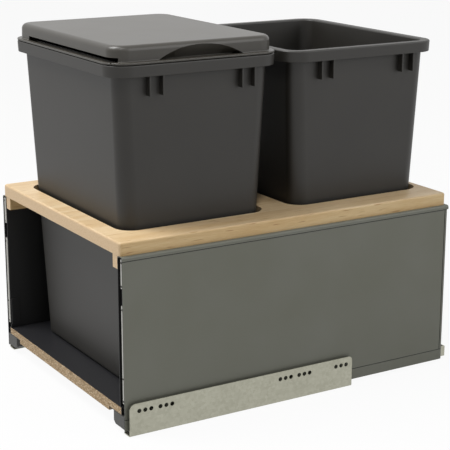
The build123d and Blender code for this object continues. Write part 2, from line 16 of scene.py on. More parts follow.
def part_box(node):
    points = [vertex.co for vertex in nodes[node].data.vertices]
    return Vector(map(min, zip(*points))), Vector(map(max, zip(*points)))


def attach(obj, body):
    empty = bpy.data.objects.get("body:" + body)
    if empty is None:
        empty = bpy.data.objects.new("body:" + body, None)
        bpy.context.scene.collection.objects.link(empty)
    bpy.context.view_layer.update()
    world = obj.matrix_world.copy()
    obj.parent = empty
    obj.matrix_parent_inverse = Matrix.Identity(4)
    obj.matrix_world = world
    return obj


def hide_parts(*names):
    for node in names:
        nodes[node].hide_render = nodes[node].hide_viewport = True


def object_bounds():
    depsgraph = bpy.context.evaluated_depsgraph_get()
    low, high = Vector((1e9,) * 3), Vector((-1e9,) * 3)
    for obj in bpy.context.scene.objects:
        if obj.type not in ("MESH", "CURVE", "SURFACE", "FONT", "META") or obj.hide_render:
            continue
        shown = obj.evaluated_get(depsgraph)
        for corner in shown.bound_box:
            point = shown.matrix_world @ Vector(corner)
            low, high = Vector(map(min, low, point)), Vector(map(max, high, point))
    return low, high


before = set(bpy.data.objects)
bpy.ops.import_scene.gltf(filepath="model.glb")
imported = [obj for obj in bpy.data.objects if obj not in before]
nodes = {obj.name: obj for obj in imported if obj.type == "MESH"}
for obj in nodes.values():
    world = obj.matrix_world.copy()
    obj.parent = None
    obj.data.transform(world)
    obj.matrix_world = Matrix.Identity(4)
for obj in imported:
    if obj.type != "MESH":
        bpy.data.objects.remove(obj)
cad_low, cad_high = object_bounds()
MM = 0.001
print("solid model:", [round(v, 4) for v in (*cad_low, *cad_high)])

# %% [markdown]
# ## One helper for all nodes
# Finishes and recipes are node trees. They could be clicked together in the editor, but a script can be
# read and changed line by line. One function adds a node of any kind, sets it and links it, so each
# statement shows a whole node. Colours are written as they look on a screen (sRGB), and the shader
# wants linear light, so a second function turns them.


# %% Node and colour helpers
def srgb(code):
    """A hex colour as it looks on screen, turned into linear light."""
    parts = [int(code[i : i + 2], 16) / 255 for i in (1, 3, 5)]
    linear = [p / 12.92 if p <= 0.04045 else ((p + 0.055) / 1.055) ** 2.4 for p in parts]
    return (*linear, 1.0)


def put(tree, kind, feeds=None, stops=(), **settings):
    """Adds a node, sets its properties, fills each named or numbered input by value or link, and
    spreads (position, hex colour) stops over its ramp where it has one."""
    made = tree.nodes.new(kind)
    for name, value in settings.items():
        setattr(made, name, value)
    for name, value in (feeds or {}).items():
        socket = made.inputs[name]
        if isinstance(value, bpy.types.NodeSocket):
            tree.links.new(value, socket)
        else:
            socket.default_value = value
    if stops:
        elements = made.color_ramp.elements
        while len(elements) < len(stops):
            elements.new(0.5)
        for element, (position, code) in zip(elements, stops):
            element.position = position
            element.color = srgb(code)
    return made


def new_material(name):
    """An empty material, ready for its nodes."""
    material = bpy.data.materials.new(name)
    material.use_nodes = True
    material.node_tree.nodes.clear()
    return material, material.node_tree


def end_finish(tree, feeds):
    """Ends a finish: its surface shader, fed as named, and the output."""
    surface = put(tree, "ShaderNodeBsdfPrincipled", feeds)
    put(tree, "ShaderNodeOutputMaterial", {"Surface": surface.outputs[0]})


print("mid grey in linear light:", round(srgb("#808080")[0], 3))

# %% [markdown]
# ## Camera
# The camera's place was worked out from the object's straight edges and the rows of holes. It stands to
# the right of the door side, a little above, with a long lens, so lines hardly converge. A constraint
# could aim it at a point, but a matrix made from its angles keeps the exact view, with its slight roll.

# %% Camera
VIEW_AZIMUTH, VIEW_ELEVATION, VIEW_ROLL = (math.radians(a) for a in (58.83, 15.05, 0.10))
FOCAL_PIXELS, PICTURE_PIXELS = 1385.15, 450
SENSOR_MM = 36
CAMERA_PLACE = (1.7292, -1.04745, 0.7508)
back = Vector(
    (
        math.sin(VIEW_AZIMUTH) * math.cos(VIEW_ELEVATION),
        -math.cos(VIEW_AZIMUTH) * math.cos(VIEW_ELEVATION),
        math.sin(VIEW_ELEVATION),
    )
)
level = Vector((0, 0, 1)).cross(back).normalized()
upright = back.cross(level)
side = math.cos(VIEW_ROLL) * level + math.sin(VIEW_ROLL) * upright
camera_data = bpy.data.cameras.new("camera")
camera_data.sensor_width = SENSOR_MM
camera_data.lens = SENSOR_MM * FOCAL_PIXELS / PICTURE_PIXELS
camera_data.shift_x = -0.5 / PICTURE_PIXELS
camera_data.shift_y = 0.5 / PICTURE_PIXELS
camera = bpy.data.objects.new("camera", camera_data)
bpy.context.scene.collection.objects.link(camera)
axes = Matrix((side, back.cross(side), back)).transposed().to_4x4()
camera.matrix_world = Matrix.Translation(CAMERA_PLACE) @ axes
bpy.context.scene.camera = camera
print("lens", round(camera_data.lens, 1), "mm")

# %% [markdown]
# ## Zinc-plated and rolled steel
# The cabinet rails, brackets and runner members are zinc-plated sheet. Zinc freezes into flat crystals a
# few millimetres wide that each lean a little differently, so their brightness and gloss vary. On thin
# plate the difference is faint. A picture of plated sheet would repeat and blur near the camera, so the
# crystals are the cells of a Voronoi texture, with borders bent by a noise. A slow noise stands for the
# cloudy patches between them, and a noise stretched along the sheet for the rolling marks.

# %% Steel finishes
BORDER_BEND_MM, BEND_REACH_MM, CLOUD_MM, ROLLING_MARK_MM = 4.545, 6.0, 28, 1.111
ALONG_SHEET = 0.05


def sheet_steel(name, dark, light, crystal_mm, roughness):
    """Plated sheet with crystals of the given width and faint rolling marks along Y."""
    material, tree = new_material(name)
    place = put(tree, "ShaderNodeTexCoord").outputs["Object"]
    bend = put(
        tree,
        "ShaderNodeTexNoise",
        {"Vector": place, "Scale": 1 / (BORDER_BEND_MM * MM), "Detail": 3.0},
    )
    bent_by = put(
        tree,
        "ShaderNodeVectorMath",
        {0: bend.outputs["Color"], "Scale": BEND_REACH_MM * MM},
        operation="SCALE",
    )
    bent = put(tree, "ShaderNodeVectorMath", {0: place, 1: bent_by.outputs[0]}, operation="ADD")
    crystals = put(
        tree, "ShaderNodeTexVoronoi", {"Vector": bent.outputs[0], "Scale": 1 / (crystal_mm * MM)}
    )
    clouds = put(
        tree, "ShaderNodeTexNoise", {"Vector": place, "Scale": 1 / (CLOUD_MM * MM), "Detail": 4.0}
    )
    along = put(tree, "ShaderNodeMapping", {"Vector": place, "Scale": (1.0, ALONG_SHEET, 1.0)})
    rolling = put(
        tree,
        "ShaderNodeTexNoise",
        {"Vector": along.outputs[0], "Scale": 1 / (ROLLING_MARK_MM * MM), "Detail": 4.0},
    )
    cell = put(tree, "ShaderNodeSeparateColor", {0: crystals.outputs["Color"]})
    soft = put(tree, "ShaderNodeMix", {0: 0.6, 2: cell.outputs[0], 3: clouds.outputs[0]})
    shade = put(tree, "ShaderNodeMix", {0: 0.35, 2: soft.outputs[0], 3: rolling.outputs[0]})
    colour = put(
        tree, "ShaderNodeValToRGB", {0: shade.outputs[0]}, stops=[(0.25, dark), (0.75, light)]
    )
    gloss = put(
        tree,
        "ShaderNodeMapRange",
        {0: cell.outputs[1], "To Min": roughness - 0.03, "To Max": roughness + 0.04},
    )
    relief = put(
        tree,
        "ShaderNodeBump",
        {"Strength": 0.12, "Distance": 0.1 * MM, "Height": shade.outputs[0]},
    )
    end_finish(
        tree,
        {
            "Base Color": colour.outputs[0],
            "Metallic": 1.0,
            "Roughness": gloss.outputs[0],
            "Normal": relief.outputs[0],
        },
    )
    return material


zinc_plated_sheet = sheet_steel("zinc_plated_sheet", "#9B9A8B", "#AEAD9E", 4.0, 0.42)
bright_zinc_bracket = sheet_steel("bright_zinc_bracket", "#A6A59F", "#BEBDB7", 3.0, 0.36)
rolled_runner_steel = sheet_steel("rolled_runner_steel", "#7C7C76", "#A3A39B", 2.0, 0.36)
bright_screw_steel = sheet_steel("bright_screw_steel", "#A09D90", "#C4C2B8", 1.0, 0.3)
print("rolling marks", ROLLING_MARK_MM, "mm wide,", round(ROLLING_MARK_MM / ALONG_SHEET), "mm long")

# %% [markdown]
# ## Powder-coated drawer sides
# The folded steel sides carry a baked powder coat. Powder melts into a skin with a fine orange peel,
# about a millimetre from crest to crest, under a satin gloss. It is paint, so it is not metallic. Grey
# is kept for what is seen from outside: the outer face and the bead on top. The inner skin, the ends of
# the sheet and the bottoms of the pressed lines are painted black, as painted shade for the shade in
# the drawer and in the lines. The faces could each be given a material by number, but the numbers change
# whenever the solid is made again. So the shader tells them apart by how far a point lies from the middle
# of the drawer and by the way its face looks.

# %% Powder coat
PEEL_MM, DRIFT_MM = 1.2, 90
SKIN_DEPTH, BEAD_DEPTH = 0.35 * MM, 3.2 * MM
side_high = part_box("drawer_side_r")[1]
powder_coated_steel, tree = new_material("powder_coated_steel")
coordinates = put(tree, "ShaderNodeTexCoord")
place = coordinates.outputs["Object"]
peel = put(
    tree, "ShaderNodeTexNoise", {"Vector": place, "Scale": 1 / (PEEL_MM * MM), "Detail": 2.0}
)
drift = put(
    tree, "ShaderNodeTexNoise", {"Vector": place, "Scale": 1 / (DRIFT_MM * MM), "Detail": 2.0}
)
parts = put(tree, "ShaderNodeSeparateXYZ", {0: place})
from_middle = put(tree, "ShaderNodeMath", {0: parts.outputs[0]}, operation="ABSOLUTE")
on_skin = put(
    tree,
    "ShaderNodeMath",
    {0: from_middle.outputs[0], 1: side_high.x - SKIN_DEPTH},
    operation="GREATER_THAN",
)
on_bead = put(
    tree,
    "ShaderNodeMath",
    {0: parts.outputs[2], 1: side_high.z - BEAD_DEPTH},
    operation="GREATER_THAN",
)
outside = put(
    tree, "ShaderNodeMath", {0: on_skin.outputs[0], 1: on_bead.outputs[0]}, operation="MAXIMUM"
)
facing = put(tree, "ShaderNodeSeparateXYZ", {0: coordinates.outputs["Normal"]})
endwise = put(tree, "ShaderNodeMath", {0: facing.outputs[1]}, operation="ABSOLUTE")
not_end_face = put(tree, "ShaderNodeMath", {0: endwise.outputs[0], 1: 0.7}, operation="LESS_THAN")
# Mask: 1 where the grey shows, 0 on the inner skin, the ends and the groove bottoms, which take painted
# shade.
unshaded_grey = put(
    tree, "ShaderNodeMath", {0: outside.outputs[0], 1: not_end_face.outputs[0]}, operation="MULTIPLY"
)
print("coated from", round((side_high.x - SKIN_DEPTH) / MM, 2), "mm off the middle")

# %% [markdown]
# ## Skin of the powder coat
# The grey drifts a little across a side, as an oven never bakes quite evenly. The peel could be real
# relief, but it is a hundredth of a millimetre high and only bends the reflections, so a bump does.

# %% Skin of the powder coat
grey = put(
    tree,
    "ShaderNodeValToRGB",
    {0: drift.outputs[0]},
    stops=[(0.3, "#65665A"), (0.7, "#6A6B61")],
)
# Painted shade: near-black where the mask is 0, for the shade inside the drawer and in the pressed lines.
colour = put(
    tree,
    "ShaderNodeMix",
    {0: unshaded_grey.outputs[0], 6: srgb("#121212"), 7: grey.outputs[0]},
    data_type="RGBA",
)
gloss = put(
    tree, "ShaderNodeMapRange", {0: drift.outputs[0], "To Min": 0.44, "To Max": 0.52}
)
relief = put(
    tree, "ShaderNodeBump", {"Strength": 0.1, "Distance": 0.1 * MM, "Height": peel.outputs[0]}
)
end_finish(
    tree,
    {
        "Base Color": colour.outputs[2],
        "Roughness": gloss.outputs[0],
        "Normal": relief.outputs[0],
    },
)
print("powder coat:", len(tree.nodes), "nodes")

# %% [markdown]
# ## Varnished maple
# Hard maple is pale, with fine fibres along the board, faint wider growth bands and tiny darker flecks.
# A photograph of a board would show the same knot on every part, so all of them are noises stretched
# along the grain, each at its real width. On the sawn ends the fibres are seen from their tips, so the
# pattern there is a fine grain without streaks. The long edges, which face sideways, are painted a little
# darker as painted shade.
# A thin clear coat gives the gloss.

# %% Maple grain
BAND_MM, FIBRE_MM, FLECK_MM, TIP_MM = 16, 1.1, 2.2, 0.9
ALONG_GRAIN = 0.07
varnished_maple, tree = new_material("varnished_maple")
coordinates = put(tree, "ShaderNodeTexCoord")
place = coordinates.outputs["Object"]
along = put(tree, "ShaderNodeMapping", {"Vector": place, "Scale": (1.0, ALONG_GRAIN, 1.0)})
bands = put(
    tree,
    "ShaderNodeTexNoise",
    {"Vector": along.outputs[0], "Scale": 1 / (BAND_MM * MM), "Detail": 2.0, "Distortion": 0.6},
)
fibres = put(
    tree,
    "ShaderNodeTexNoise",
    {"Vector": along.outputs[0], "Scale": 1 / (FIBRE_MM * MM), "Detail": 5.0, "Roughness": 0.6},
)
flecks = put(
    tree,
    "ShaderNodeTexNoise",
    {"Vector": along.outputs[0], "Scale": 1 / (FLECK_MM * MM), "Detail": 1.0},
)
fleck_mask = put(
    tree, "ShaderNodeMapRange", {0: flecks.outputs[0], "From Min": 0.66, "From Max": 0.74}
)
grain = put(tree, "ShaderNodeMix", {0: 0.45, 2: bands.outputs[0], 3: fibres.outputs[0]})
face_colour = put(
    tree,
    "ShaderNodeValToRGB",
    {0: grain.outputs[0]},
    stops=[(0.32, "#CCAB7C"), (0.5, "#D9BD93"), (0.68, "#E3CDA9")],
)
flecked = put(
    tree,
    "ShaderNodeMix",
    {0: fleck_mask.outputs[0], 6: face_colour.outputs[0], 7: srgb("#B08A5C")},
    data_type="RGBA",
)
tips = put(
    tree, "ShaderNodeTexNoise", {"Vector": place, "Scale": 1 / (TIP_MM * MM), "Detail": 3.0}
)
end_colour = put(
    tree,
    "ShaderNodeValToRGB",
    {0: tips.outputs[0]},
    stops=[(0.35, "#CAAB82"), (0.65, "#DABE98")],
)
print("maple fibres", FIBRE_MM, "mm wide,", round(FIBRE_MM / ALONG_GRAIN), "mm long")

# %% [markdown]
# ## Ends, edges and coat of the maple
# The frame is cut from boards whose grain runs from front to back. So faces that look along Y are end
# grain, and faces that look along X are long edges, which are painted a little darker as painted shade. A
# soft range between them keeps the rounded corners of the openings from showing a border.

# %% Ends, edges and coat of the maple
facing = put(tree, "ShaderNodeSeparateXYZ", {0: coordinates.outputs["Normal"]})
masks = []
for axis in (1, 0):
    squarely = put(tree, "ShaderNodeMath", {0: facing.outputs[axis]}, operation="ABSOLUTE")
    masks.append(
        put(
            tree,
            "ShaderNodeMapRange",
            {0: squarely.outputs[0], "From Min": 0.6, "From Max": 0.9},
        )
    )
end_mask, side_shade_mask = masks
with_ends = put(
    tree,
    "ShaderNodeMix",
    {0: end_mask.outputs[0], 6: flecked.outputs[2], 7: end_colour.outputs[0]},
    data_type="RGBA",
)
# Painted shade: faces that look along X are multiplied by #F0EAD8, a little darker than the rest.
colour = put(
    tree,
    "ShaderNodeMix",
    {0: side_shade_mask.outputs[0], 6: with_ends.outputs[2], 7: srgb("#F0EAD8")},
    data_type="RGBA",
    blend_type="MULTIPLY",
)
relief = put(
    tree, "ShaderNodeBump", {"Strength": 0.15, "Distance": 0.1 * MM, "Height": fibres.outputs[0]}
)
end_finish(
    tree,
    {
        "Base Color": colour.outputs[2],
        "Roughness": 0.5,
        "Coat Weight": 0.1,
        "Coat Roughness": 0.25,
        "Normal": relief.outputs[0],
    },
)
print("maple:", len(tree.nodes), "nodes")

# %% [markdown]
# ## Melamine-faced particleboard
# The bottom and back panels are pressed wood chips between dark melamine faces. Only the broad faces
# have melamine, and the narrow ones are bare. Edge strips could be modelled as pieces of their own, but
# the board is cut from one sheet, so its shader looks at which way a face points. Where it is an edge it
# shows chips, about two millimetres wide and flattened by the press.

# %% Particleboard
CHIP_MM, CHIP_SQUEEZE, LEATHER_MM = 2.4, 2.6, 0.8


def faced_board(name, broad_axis):
    """Board whose melamine faces look along the axis numbered 0, 1 or 2."""
    material, tree = new_material(name)
    coordinates = put(tree, "ShaderNodeTexCoord")
    place = coordinates.outputs["Object"]
    squeeze = [1.0, 1.0, 1.0]
    squeeze[broad_axis] = CHIP_SQUEEZE
    pressed = put(tree, "ShaderNodeMapping", {"Vector": place, "Scale": squeeze})
    chips = put(
        tree, "ShaderNodeTexVoronoi", {"Vector": pressed.outputs[0], "Scale": 1 / (CHIP_MM * MM)}
    )
    chip = put(tree, "ShaderNodeSeparateColor", {0: chips.outputs["Color"]})
    chip_colour = put(
        tree,
        "ShaderNodeValToRGB",
        {0: chip.outputs[0]},
        stops=[(0.0, "#836C50"), (0.45, "#A68D6B"), (0.8, "#BDA483"), (1.0, "#CFBC9E")],
    )
    leather = put(
        tree,
        "ShaderNodeTexNoise",
        {"Vector": place, "Scale": 1 / (LEATHER_MM * MM), "Detail": 2.0},
    )
    face_colour = put(
        tree,
        "ShaderNodeValToRGB",
        {0: leather.outputs[0]},
        stops=[(0.3, "#18181A"), (0.7, "#1E1E21")],
    )
    facing = put(tree, "ShaderNodeSeparateXYZ", {0: coordinates.outputs["Normal"]})
    broad = put(tree, "ShaderNodeMath", {0: facing.outputs[broad_axis]}, operation="ABSOLUTE")
    is_face = put(
        tree, "ShaderNodeMath", {0: broad.outputs[0], 1: 0.7}, operation="GREATER_THAN"
    )
    colour = put(
        tree,
        "ShaderNodeMix",
        {0: is_face.outputs[0], 6: chip_colour.outputs[0], 7: face_colour.outputs[0]},
        data_type="RGBA",
    )
    gloss = put(
        tree, "ShaderNodeMapRange", {0: is_face.outputs[0], "To Min": 0.85, "To Max": 0.45}
    )
    height = put(
        tree,
        "ShaderNodeMix",
        {0: is_face.outputs[0], 2: chip.outputs[1], 3: leather.outputs[0]},
    )
    relief = put(
        tree,
        "ShaderNodeBump",
        {"Strength": 0.3, "Distance": 0.2 * MM, "Height": height.outputs[0]},
    )
    end_finish(
        tree,
        {
            "Base Color": colour.outputs[2],
            "Roughness": gloss.outputs[0],
            "Normal": relief.outputs[0],
        },
    )
    return material


melamine_bottom_board = faced_board("melamine_bottom_board", 2)
melamine_back_board = faced_board("melamine_back_board", 1)
print("boards:", melamine_bottom_board.name, melamine_back_board.name)

# %% [markdown]
# ## Moulded plastics
# Bins and lid are polypropylene, injection-moulded in a spark-eroded mould, which leaves a dense fine
# texture and a soft gloss. The plastic is nearly black, so most of what the eye gets is the sheen of its
# skin, and a flat dark colour would look painted on. A fine noise gives the grit and a slow one the
# drift that uneven cooling leaves. The grit is about 0.3 mm, too fine for this picture, so it is drawn
# at 0.7 mm. Caps and rollers are nylon and acetal, moulded the same way.

# %% Plastics
GRIT_MM, COOLING_MM = 0.7, 70


def moulded(name, dark, light, roughness):
    """Moulded plastic with a fine texture and a slow drift of colour."""
    material, tree = new_material(name)
    place = put(tree, "ShaderNodeTexCoord").outputs["Object"]
    grit = put(
        tree, "ShaderNodeTexNoise", {"Vector": place, "Scale": 1 / (GRIT_MM * MM), "Detail": 3.0}
    )
    drift = put(
        tree,
        "ShaderNodeTexNoise",
        {"Vector": place, "Scale": 1 / (COOLING_MM * MM), "Detail": 3.0},
    )
    colour = put(
        tree, "ShaderNodeValToRGB", {0: drift.outputs[0]}, stops=[(0.3, dark), (0.7, light)]
    )
    gloss = put(
        tree,
        "ShaderNodeMapRange",
        {0: drift.outputs[0], "To Min": roughness - 0.03, "To Max": roughness + 0.03},
    )
    relief = put(
        tree,
        "ShaderNodeBump",
        {"Strength": 0.06, "Distance": 0.1 * MM, "Height": grit.outputs[0]},
    )
    end_finish(
        tree,
        {
            "Base Color": colour.outputs[0],
            "Roughness": gloss.outputs[0],
            "Normal": relief.outputs[0],
        },
    )
    return material


bin_polypropylene = moulded("bin_polypropylene", "#1F1D19", "#23211D", 0.47)
lid_polypropylene = moulded("lid_polypropylene", "#38352F", "#3E3B35", 0.365)
end_cap_nylon = moulded("end_cap_nylon", "#383835", "#3E3E3B", 0.5)
# The cover cap sits in the shade on the inner skin; its near-black colour is painted shade.
cover_cap_nylon = moulded("cover_cap_nylon", "#191919", "#1D1D1D", 0.4)
roller_acetal = moulded("roller_acetal", "#D6D3C9", "#DEDBD1", 0.3)
print("plastics:", bin_polypropylene.name, lid_polypropylene.name, roller_acetal.name)

# %% [markdown]
# ## Finishes on the solid model
# Most parts keep their solids, because the real pieces are as plain as that. They could be modelled again
# with finer edges, but at this distance the difference doesn't show. Each only swaps its plain colour for
# the finish of the real one, found by the longest name that its own name starts with.

# %% Dress the carried-over parts
finish_of = {
    "cabinet_rail": zinc_plated_sheet,
    "front_bracket": bright_zinc_bracket,
    "back_bracket": bright_zinc_bracket,
    "middle_profile": rolled_runner_steel,
    "drawer_profile": rolled_runner_steel,
    "lower_cage": rolled_runner_steel,
    "upper_cage": rolled_runner_steel,
    "lower_rollers": roller_acetal,
    "upper_rollers": roller_acetal,
    "drawer_side": powder_coated_steel,
    "side_end_cap": end_cap_nylon,
    "cover_cap": cover_cap_nylon,
    "bottom_panel": melamine_bottom_board,
    "back_panel": melamine_back_board,
    "top_frame": varnished_maple,
    "cleat": varnished_maple,
    "bottom_screws": bright_screw_steel,
    "cleat_screws": bright_screw_steel,
    "frame_screws": bright_screw_steel,
    "back_screws": bright_screw_steel,
    "bin": bin_polypropylene,
    "lid": lid_polypropylene,
}
for name, node in nodes.items():
    key = next(k for k in sorted(finish_of, key=len, reverse=True) if name.startswith(k))
    node.data.materials.clear()
    node.data.materials.append(finish_of[key])
print("dressed", len(nodes), "parts")

# %% [markdown]
# ## Helpers for shapes made by geometry trees
# The moulded pieces and the screws follow rules, so they are grown by rules and not drawn point by point.
# A Geometry Nodes tree is a recipe: it starts from a seed, such as a drawn section or a few points, and
# takes its sizes as inputs. One function opens a tree with named inputs, one ends it, and one runs it on
# a seed and keeps the result as a plain mesh, because a finished piece needs no live modifier.


# %% Geometry tree helpers
def new_recipe(name, sizes):
    """A geometry tree with one input for each named size; gives the tree and what flows in."""
    tree = bpy.data.node_groups.new(name, "GeometryNodeTree")
    kinds = {float: "NodeSocketFloat", tuple: "NodeSocketVector", type(None): "NodeSocketMaterial"}
    tree.interface.new_socket("Geometry", in_out="INPUT", socket_type="NodeSocketGeometry")
    tree.interface.new_socket("Geometry", in_out="OUTPUT", socket_type="NodeSocketGeometry")
    for title, size in sizes.items():
        socket = tree.interface.new_socket(title, in_out="INPUT", socket_type=kinds[type(size)])
        if size is not None:
            socket.default_value = size
    return tree, put(tree, "NodeGroupInput").outputs


def end_recipe(tree, shape, material):
    """Turns copies into real faces, gives them their material and ends the tree."""
    real = put(tree, "GeometryNodeRealizeInstances", {0: shape})
    finished = put(tree, "GeometryNodeSetMaterial", {0: real.outputs[0], "Material": material})
    put(tree, "NodeGroupOutput", {0: finished.outputs[0]})


def plain_mesh(name, thing):
    """The evaluated shape of an object, as a new object without modifiers."""
    graph = bpy.context.evaluated_depsgraph_get()
    mesh = bpy.data.meshes.new_from_object(thing.evaluated_get(graph), depsgraph=graph)
    mesh.name = name
    made = bpy.data.objects.new(name, mesh)
    bpy.context.scene.collection.objects.link(made)
    return made


def grow(name, tree, seed, **sizes):
    """Runs a recipe on a seed and keeps the result as a plain mesh; underscores stand for spaces."""
    modifier = seed.modifiers.new(name, "NODES")
    modifier.node_group = tree
    for socket in tree.interface.items_tree:
        key = socket.name.replace(" ", "_").lower()
        if socket.in_out == "INPUT" and key in sizes:
            modifier[socket.identifier] = sizes[key]
    made = plain_mesh(name, seed)
    bpy.data.objects.remove(seed)
    return made


# %% [markdown]
# ## Sections with rounded corners
# The wall, rim or flange of a moulding has the same section all the way round. A bevel could round its
# edges afterwards, but each corner has its own radius in the mould. So the section is a list of corners,
# each with how far out it lies, how high, and the radius that an arc rounds it to.


# %% Rounded sections
def rounded_path(corners, closed=False, steps=6):
    """Points (out, up) through corners (out, up, radius), each corner turned by an arc."""
    path = []
    for index, (out, up, radius) in enumerate(corners):
        here = Vector((out, up))
        if radius == 0 or (not closed and index in (0, len(corners) - 1)):
            path.append(here)
            continue
        back_way = (Vector(corners[index - 1][:2]) - here).normalized()
        on_way = (Vector(corners[(index + 1) % len(corners)][:2]) - here).normalized()
        half = back_way.angle(on_way) / 2
        middle = here + (back_way + on_way).normalized() * radius / math.sin(half)
        spoke = here + back_way * radius / math.tan(half) - middle
        turn = math.copysign(math.pi - 2 * half, -back_way.x * on_way.y + back_way.y * on_way.x)
        for step in range(steps + 1):
            path.append(middle + Matrix.Rotation(turn * step / steps, 2) @ spoke)
    return path


def section(name, corners, closed=False, steps=6):
    """A drawn section as a curve object in the plane that the sweep wants: out along X, down along Y."""
    path = rounded_path(corners, closed, steps)
    curve = bpy.data.curves.new(name, "CURVE")
    curve.dimensions = "3D"
    line = curve.splines.new("POLY")
    line.points.add(len(path) - 1)
    for point, (out, up) in zip(line.points, path):
        point.co = (out * MM, -up * MM, 0, 1)
    line.use_cyclic_u = closed
    drawn = bpy.data.objects.new(name, curve)
    bpy.context.scene.collection.objects.link(drawn)
    return drawn


# %% [markdown]
# ## The recipe for a rounded ring
# Bins and lid are one section that travels round a rectangle with rounded corners. A loft between a small
# and a large outline could make them too, but the sweep keeps the section exact. A moulded wall leans out
# so that it leaves the mould: each point is then moved out in step with its height, and the corners
# tighten as they rise.

# %% Rounded ring: outline and sweep
rounded_ring, given = new_recipe(
    "rounded_ring",
    {
        "Width": 0.3,
        "Depth": 0.2,
        "Corner": 0.02,
        "Lean X": 0.0,
        "Lean Y": 0.0,
        "Closing": 0.0,
        "Centre": (0.0, 0.0, 0.0),
        "Material": None,
    },
)
tree = rounded_ring
rectangle = put(
    tree,
    "GeometryNodeCurvePrimitiveQuadrilateral",
    {"Width": given["Width"], "Height": given["Depth"]},
)
outline = put(
    tree,
    "GeometryNodeFilletCurve",
    {"Curve": rectangle.outputs[0], "Count": 14, "Radius": given["Corner"]},
    mode="POLY",
)
standing = put(tree, "GeometryNodeSetCurveNormal", {"Curve": outline.outputs[0]}, mode="Z_UP")
tangent = put(tree, "GeometryNodeInputTangent")
outward = put(
    tree,
    "ShaderNodeVectorMath",
    {0: tangent.outputs[0], 1: (0.0, 0.0, 1.0)},
    operation="CROSS_PRODUCT",
)
marked = put(
    tree,
    "GeometryNodeStoreNamedAttribute",
    {"Geometry": standing.outputs[0], "Name": "outward", "Value": outward.outputs[0]},
    data_type="FLOAT_VECTOR",
    domain="POINT",
)
swept = put(
    tree,
    "GeometryNodeCurveToMesh",
    {"Curve": marked.outputs[0], "Profile Curve": given["Geometry"]},
)
print("ring outline and sweep:", len(tree.nodes), "nodes")

# %% [markdown]
# ## The lean of a moulded wall
# Each point knows its height and which way is out at its place on the outline. Scaling the whole ring by
# height would stretch the corners as well, so sides and corners are moved by their own amounts.

# %% Rounded ring: lean
where = put(tree, "GeometryNodeInputPosition")
height = put(tree, "ShaderNodeSeparateXYZ", {0: where.outputs[0]})
half_side = put(tree, "ShaderNodeVectorMath", {0: where.outputs[0]}, operation="SIGN")
lean_x = put(tree, "ShaderNodeMath", {0: given["Lean X"], 1: given["Closing"]}, operation="ADD")
lean_y = put(tree, "ShaderNodeMath", {0: given["Lean Y"], 1: given["Closing"]}, operation="ADD")
lean = put(tree, "ShaderNodeCombineXYZ", {0: lean_x.outputs[0], 1: lean_y.outputs[0]})
leaning = put(
    tree,
    "ShaderNodeVectorMath",
    {0: half_side.outputs[0], 1: lean.outputs[0]},
    operation="MULTIPLY",
)
stored = put(
    tree, "GeometryNodeInputNamedAttribute", {"Name": "outward"}, data_type="FLOAT_VECTOR"
)
tightening = put(
    tree,
    "ShaderNodeVectorMath",
    {0: stored.outputs["Attribute"], "Scale": given["Closing"]},
    operation="SCALE",
)
step_out = put(
    tree,
    "ShaderNodeVectorMath",
    {0: leaning.outputs[0], 1: tightening.outputs[0]},
    operation="SUBTRACT",
)
shift = put(
    tree,
    "ShaderNodeVectorMath",
    {0: step_out.outputs[0], "Scale": height.outputs[2]},
    operation="SCALE",
)
placed = put(
    tree,
    "ShaderNodeVectorMath",
    {0: shift.outputs[0], 1: given["Centre"]},
    operation="ADD",
)
leaned = put(
    tree,
    "GeometryNodeSetPosition",
    {"Geometry": swept.outputs[0], "Offset": placed.outputs[0]},
)
end_recipe(tree, leaned.outputs[0], given["Material"])
print("ring recipe:", len(tree.nodes), "nodes")


# %% [markdown]
# ## Closing and smoothing a shell
# A moulding is one closed skin. The sweep leaves its floor or top open, and each open edge is a flat loop,
# so one face closes it. Webs are joined on and openings cut out by exact Booleans, as separate overlapping
# pieces would show their borders. Then the faces are shaded as one smooth surface except at real edges.
# Normals lean on the large faces, so that flat walls look flat next to their rounded corners.


# %% Shell helpers
SAME_POINT = 0.002 * MM


def closed_up(piece):
    """Fills flat open loops and points all faces outwards."""
    shell = bmesh.new()
    shell.from_mesh(piece.data)
    bmesh.ops.remove_doubles(shell, verts=shell.verts, dist=SAME_POINT)
    open_edges = [edge for edge in shell.edges if edge.is_boundary]
    bmesh.ops.holes_fill(shell, edges=open_edges, sides=0)
    bmesh.ops.recalc_face_normals(shell, faces=shell.faces)
    shell.to_mesh(piece.data)
    shell.free()
    return piece


def smoothed(piece, degrees=32):
    """Smooth shading up to an angle, with normals weighted by face size, baked into the mesh."""
    name = piece.name
    piece.data.shade_smooth()
    piece.data.set_sharp_from_angle(angle=math.radians(degrees))
    weighted = piece.modifiers.new("normals", "WEIGHTED_NORMAL")
    weighted.keep_sharp = True
    made = plain_mesh(name, piece)
    bpy.data.objects.remove(piece)
    made.name = name
    return made


def carved(piece, tool, operation="DIFFERENCE"):
    """The exact union or difference of two closed pieces."""
    name = piece.name
    carve = piece.modifiers.new("carve", "BOOLEAN")
    carve.solver = "EXACT"
    carve.operation = operation
    carve.object = tool
    made = plain_mesh(name, piece)
    bpy.data.objects.remove(piece)
    bpy.data.objects.remove(tool)
    made.name = name
    return made


# %% [markdown]
# ## Bins
# Each bin is one shell: floor, walls that lean out, and a rim turned down outside to stiffen the mouth. A
# box with a Solidify modifier would give the wall but not the rim's own radii. So the section starts on
# the floor inside, climbs the wall, goes over the rim and down outside to the foot. Two flat faces, one
# above the other, close the floor.

# %% Bin sizes and section
WALL, RIM_OVERHANG, RIM_HEIGHT = 2.5, 11.5, 16.0
LEAN_X, LEAN_Y = 0.024, 0.044
FOOT_CORNER, CORNER_CLOSING, FOOT_ROUND = 24.0, 4.0, 6.0
MOUTH_ROUND, RIM_ROUND, SKIRT_ROUND, GUTTER_ROUND = 2.6, 2.2, 0.6, 1.5
FLOOR_STRIP = 8.0


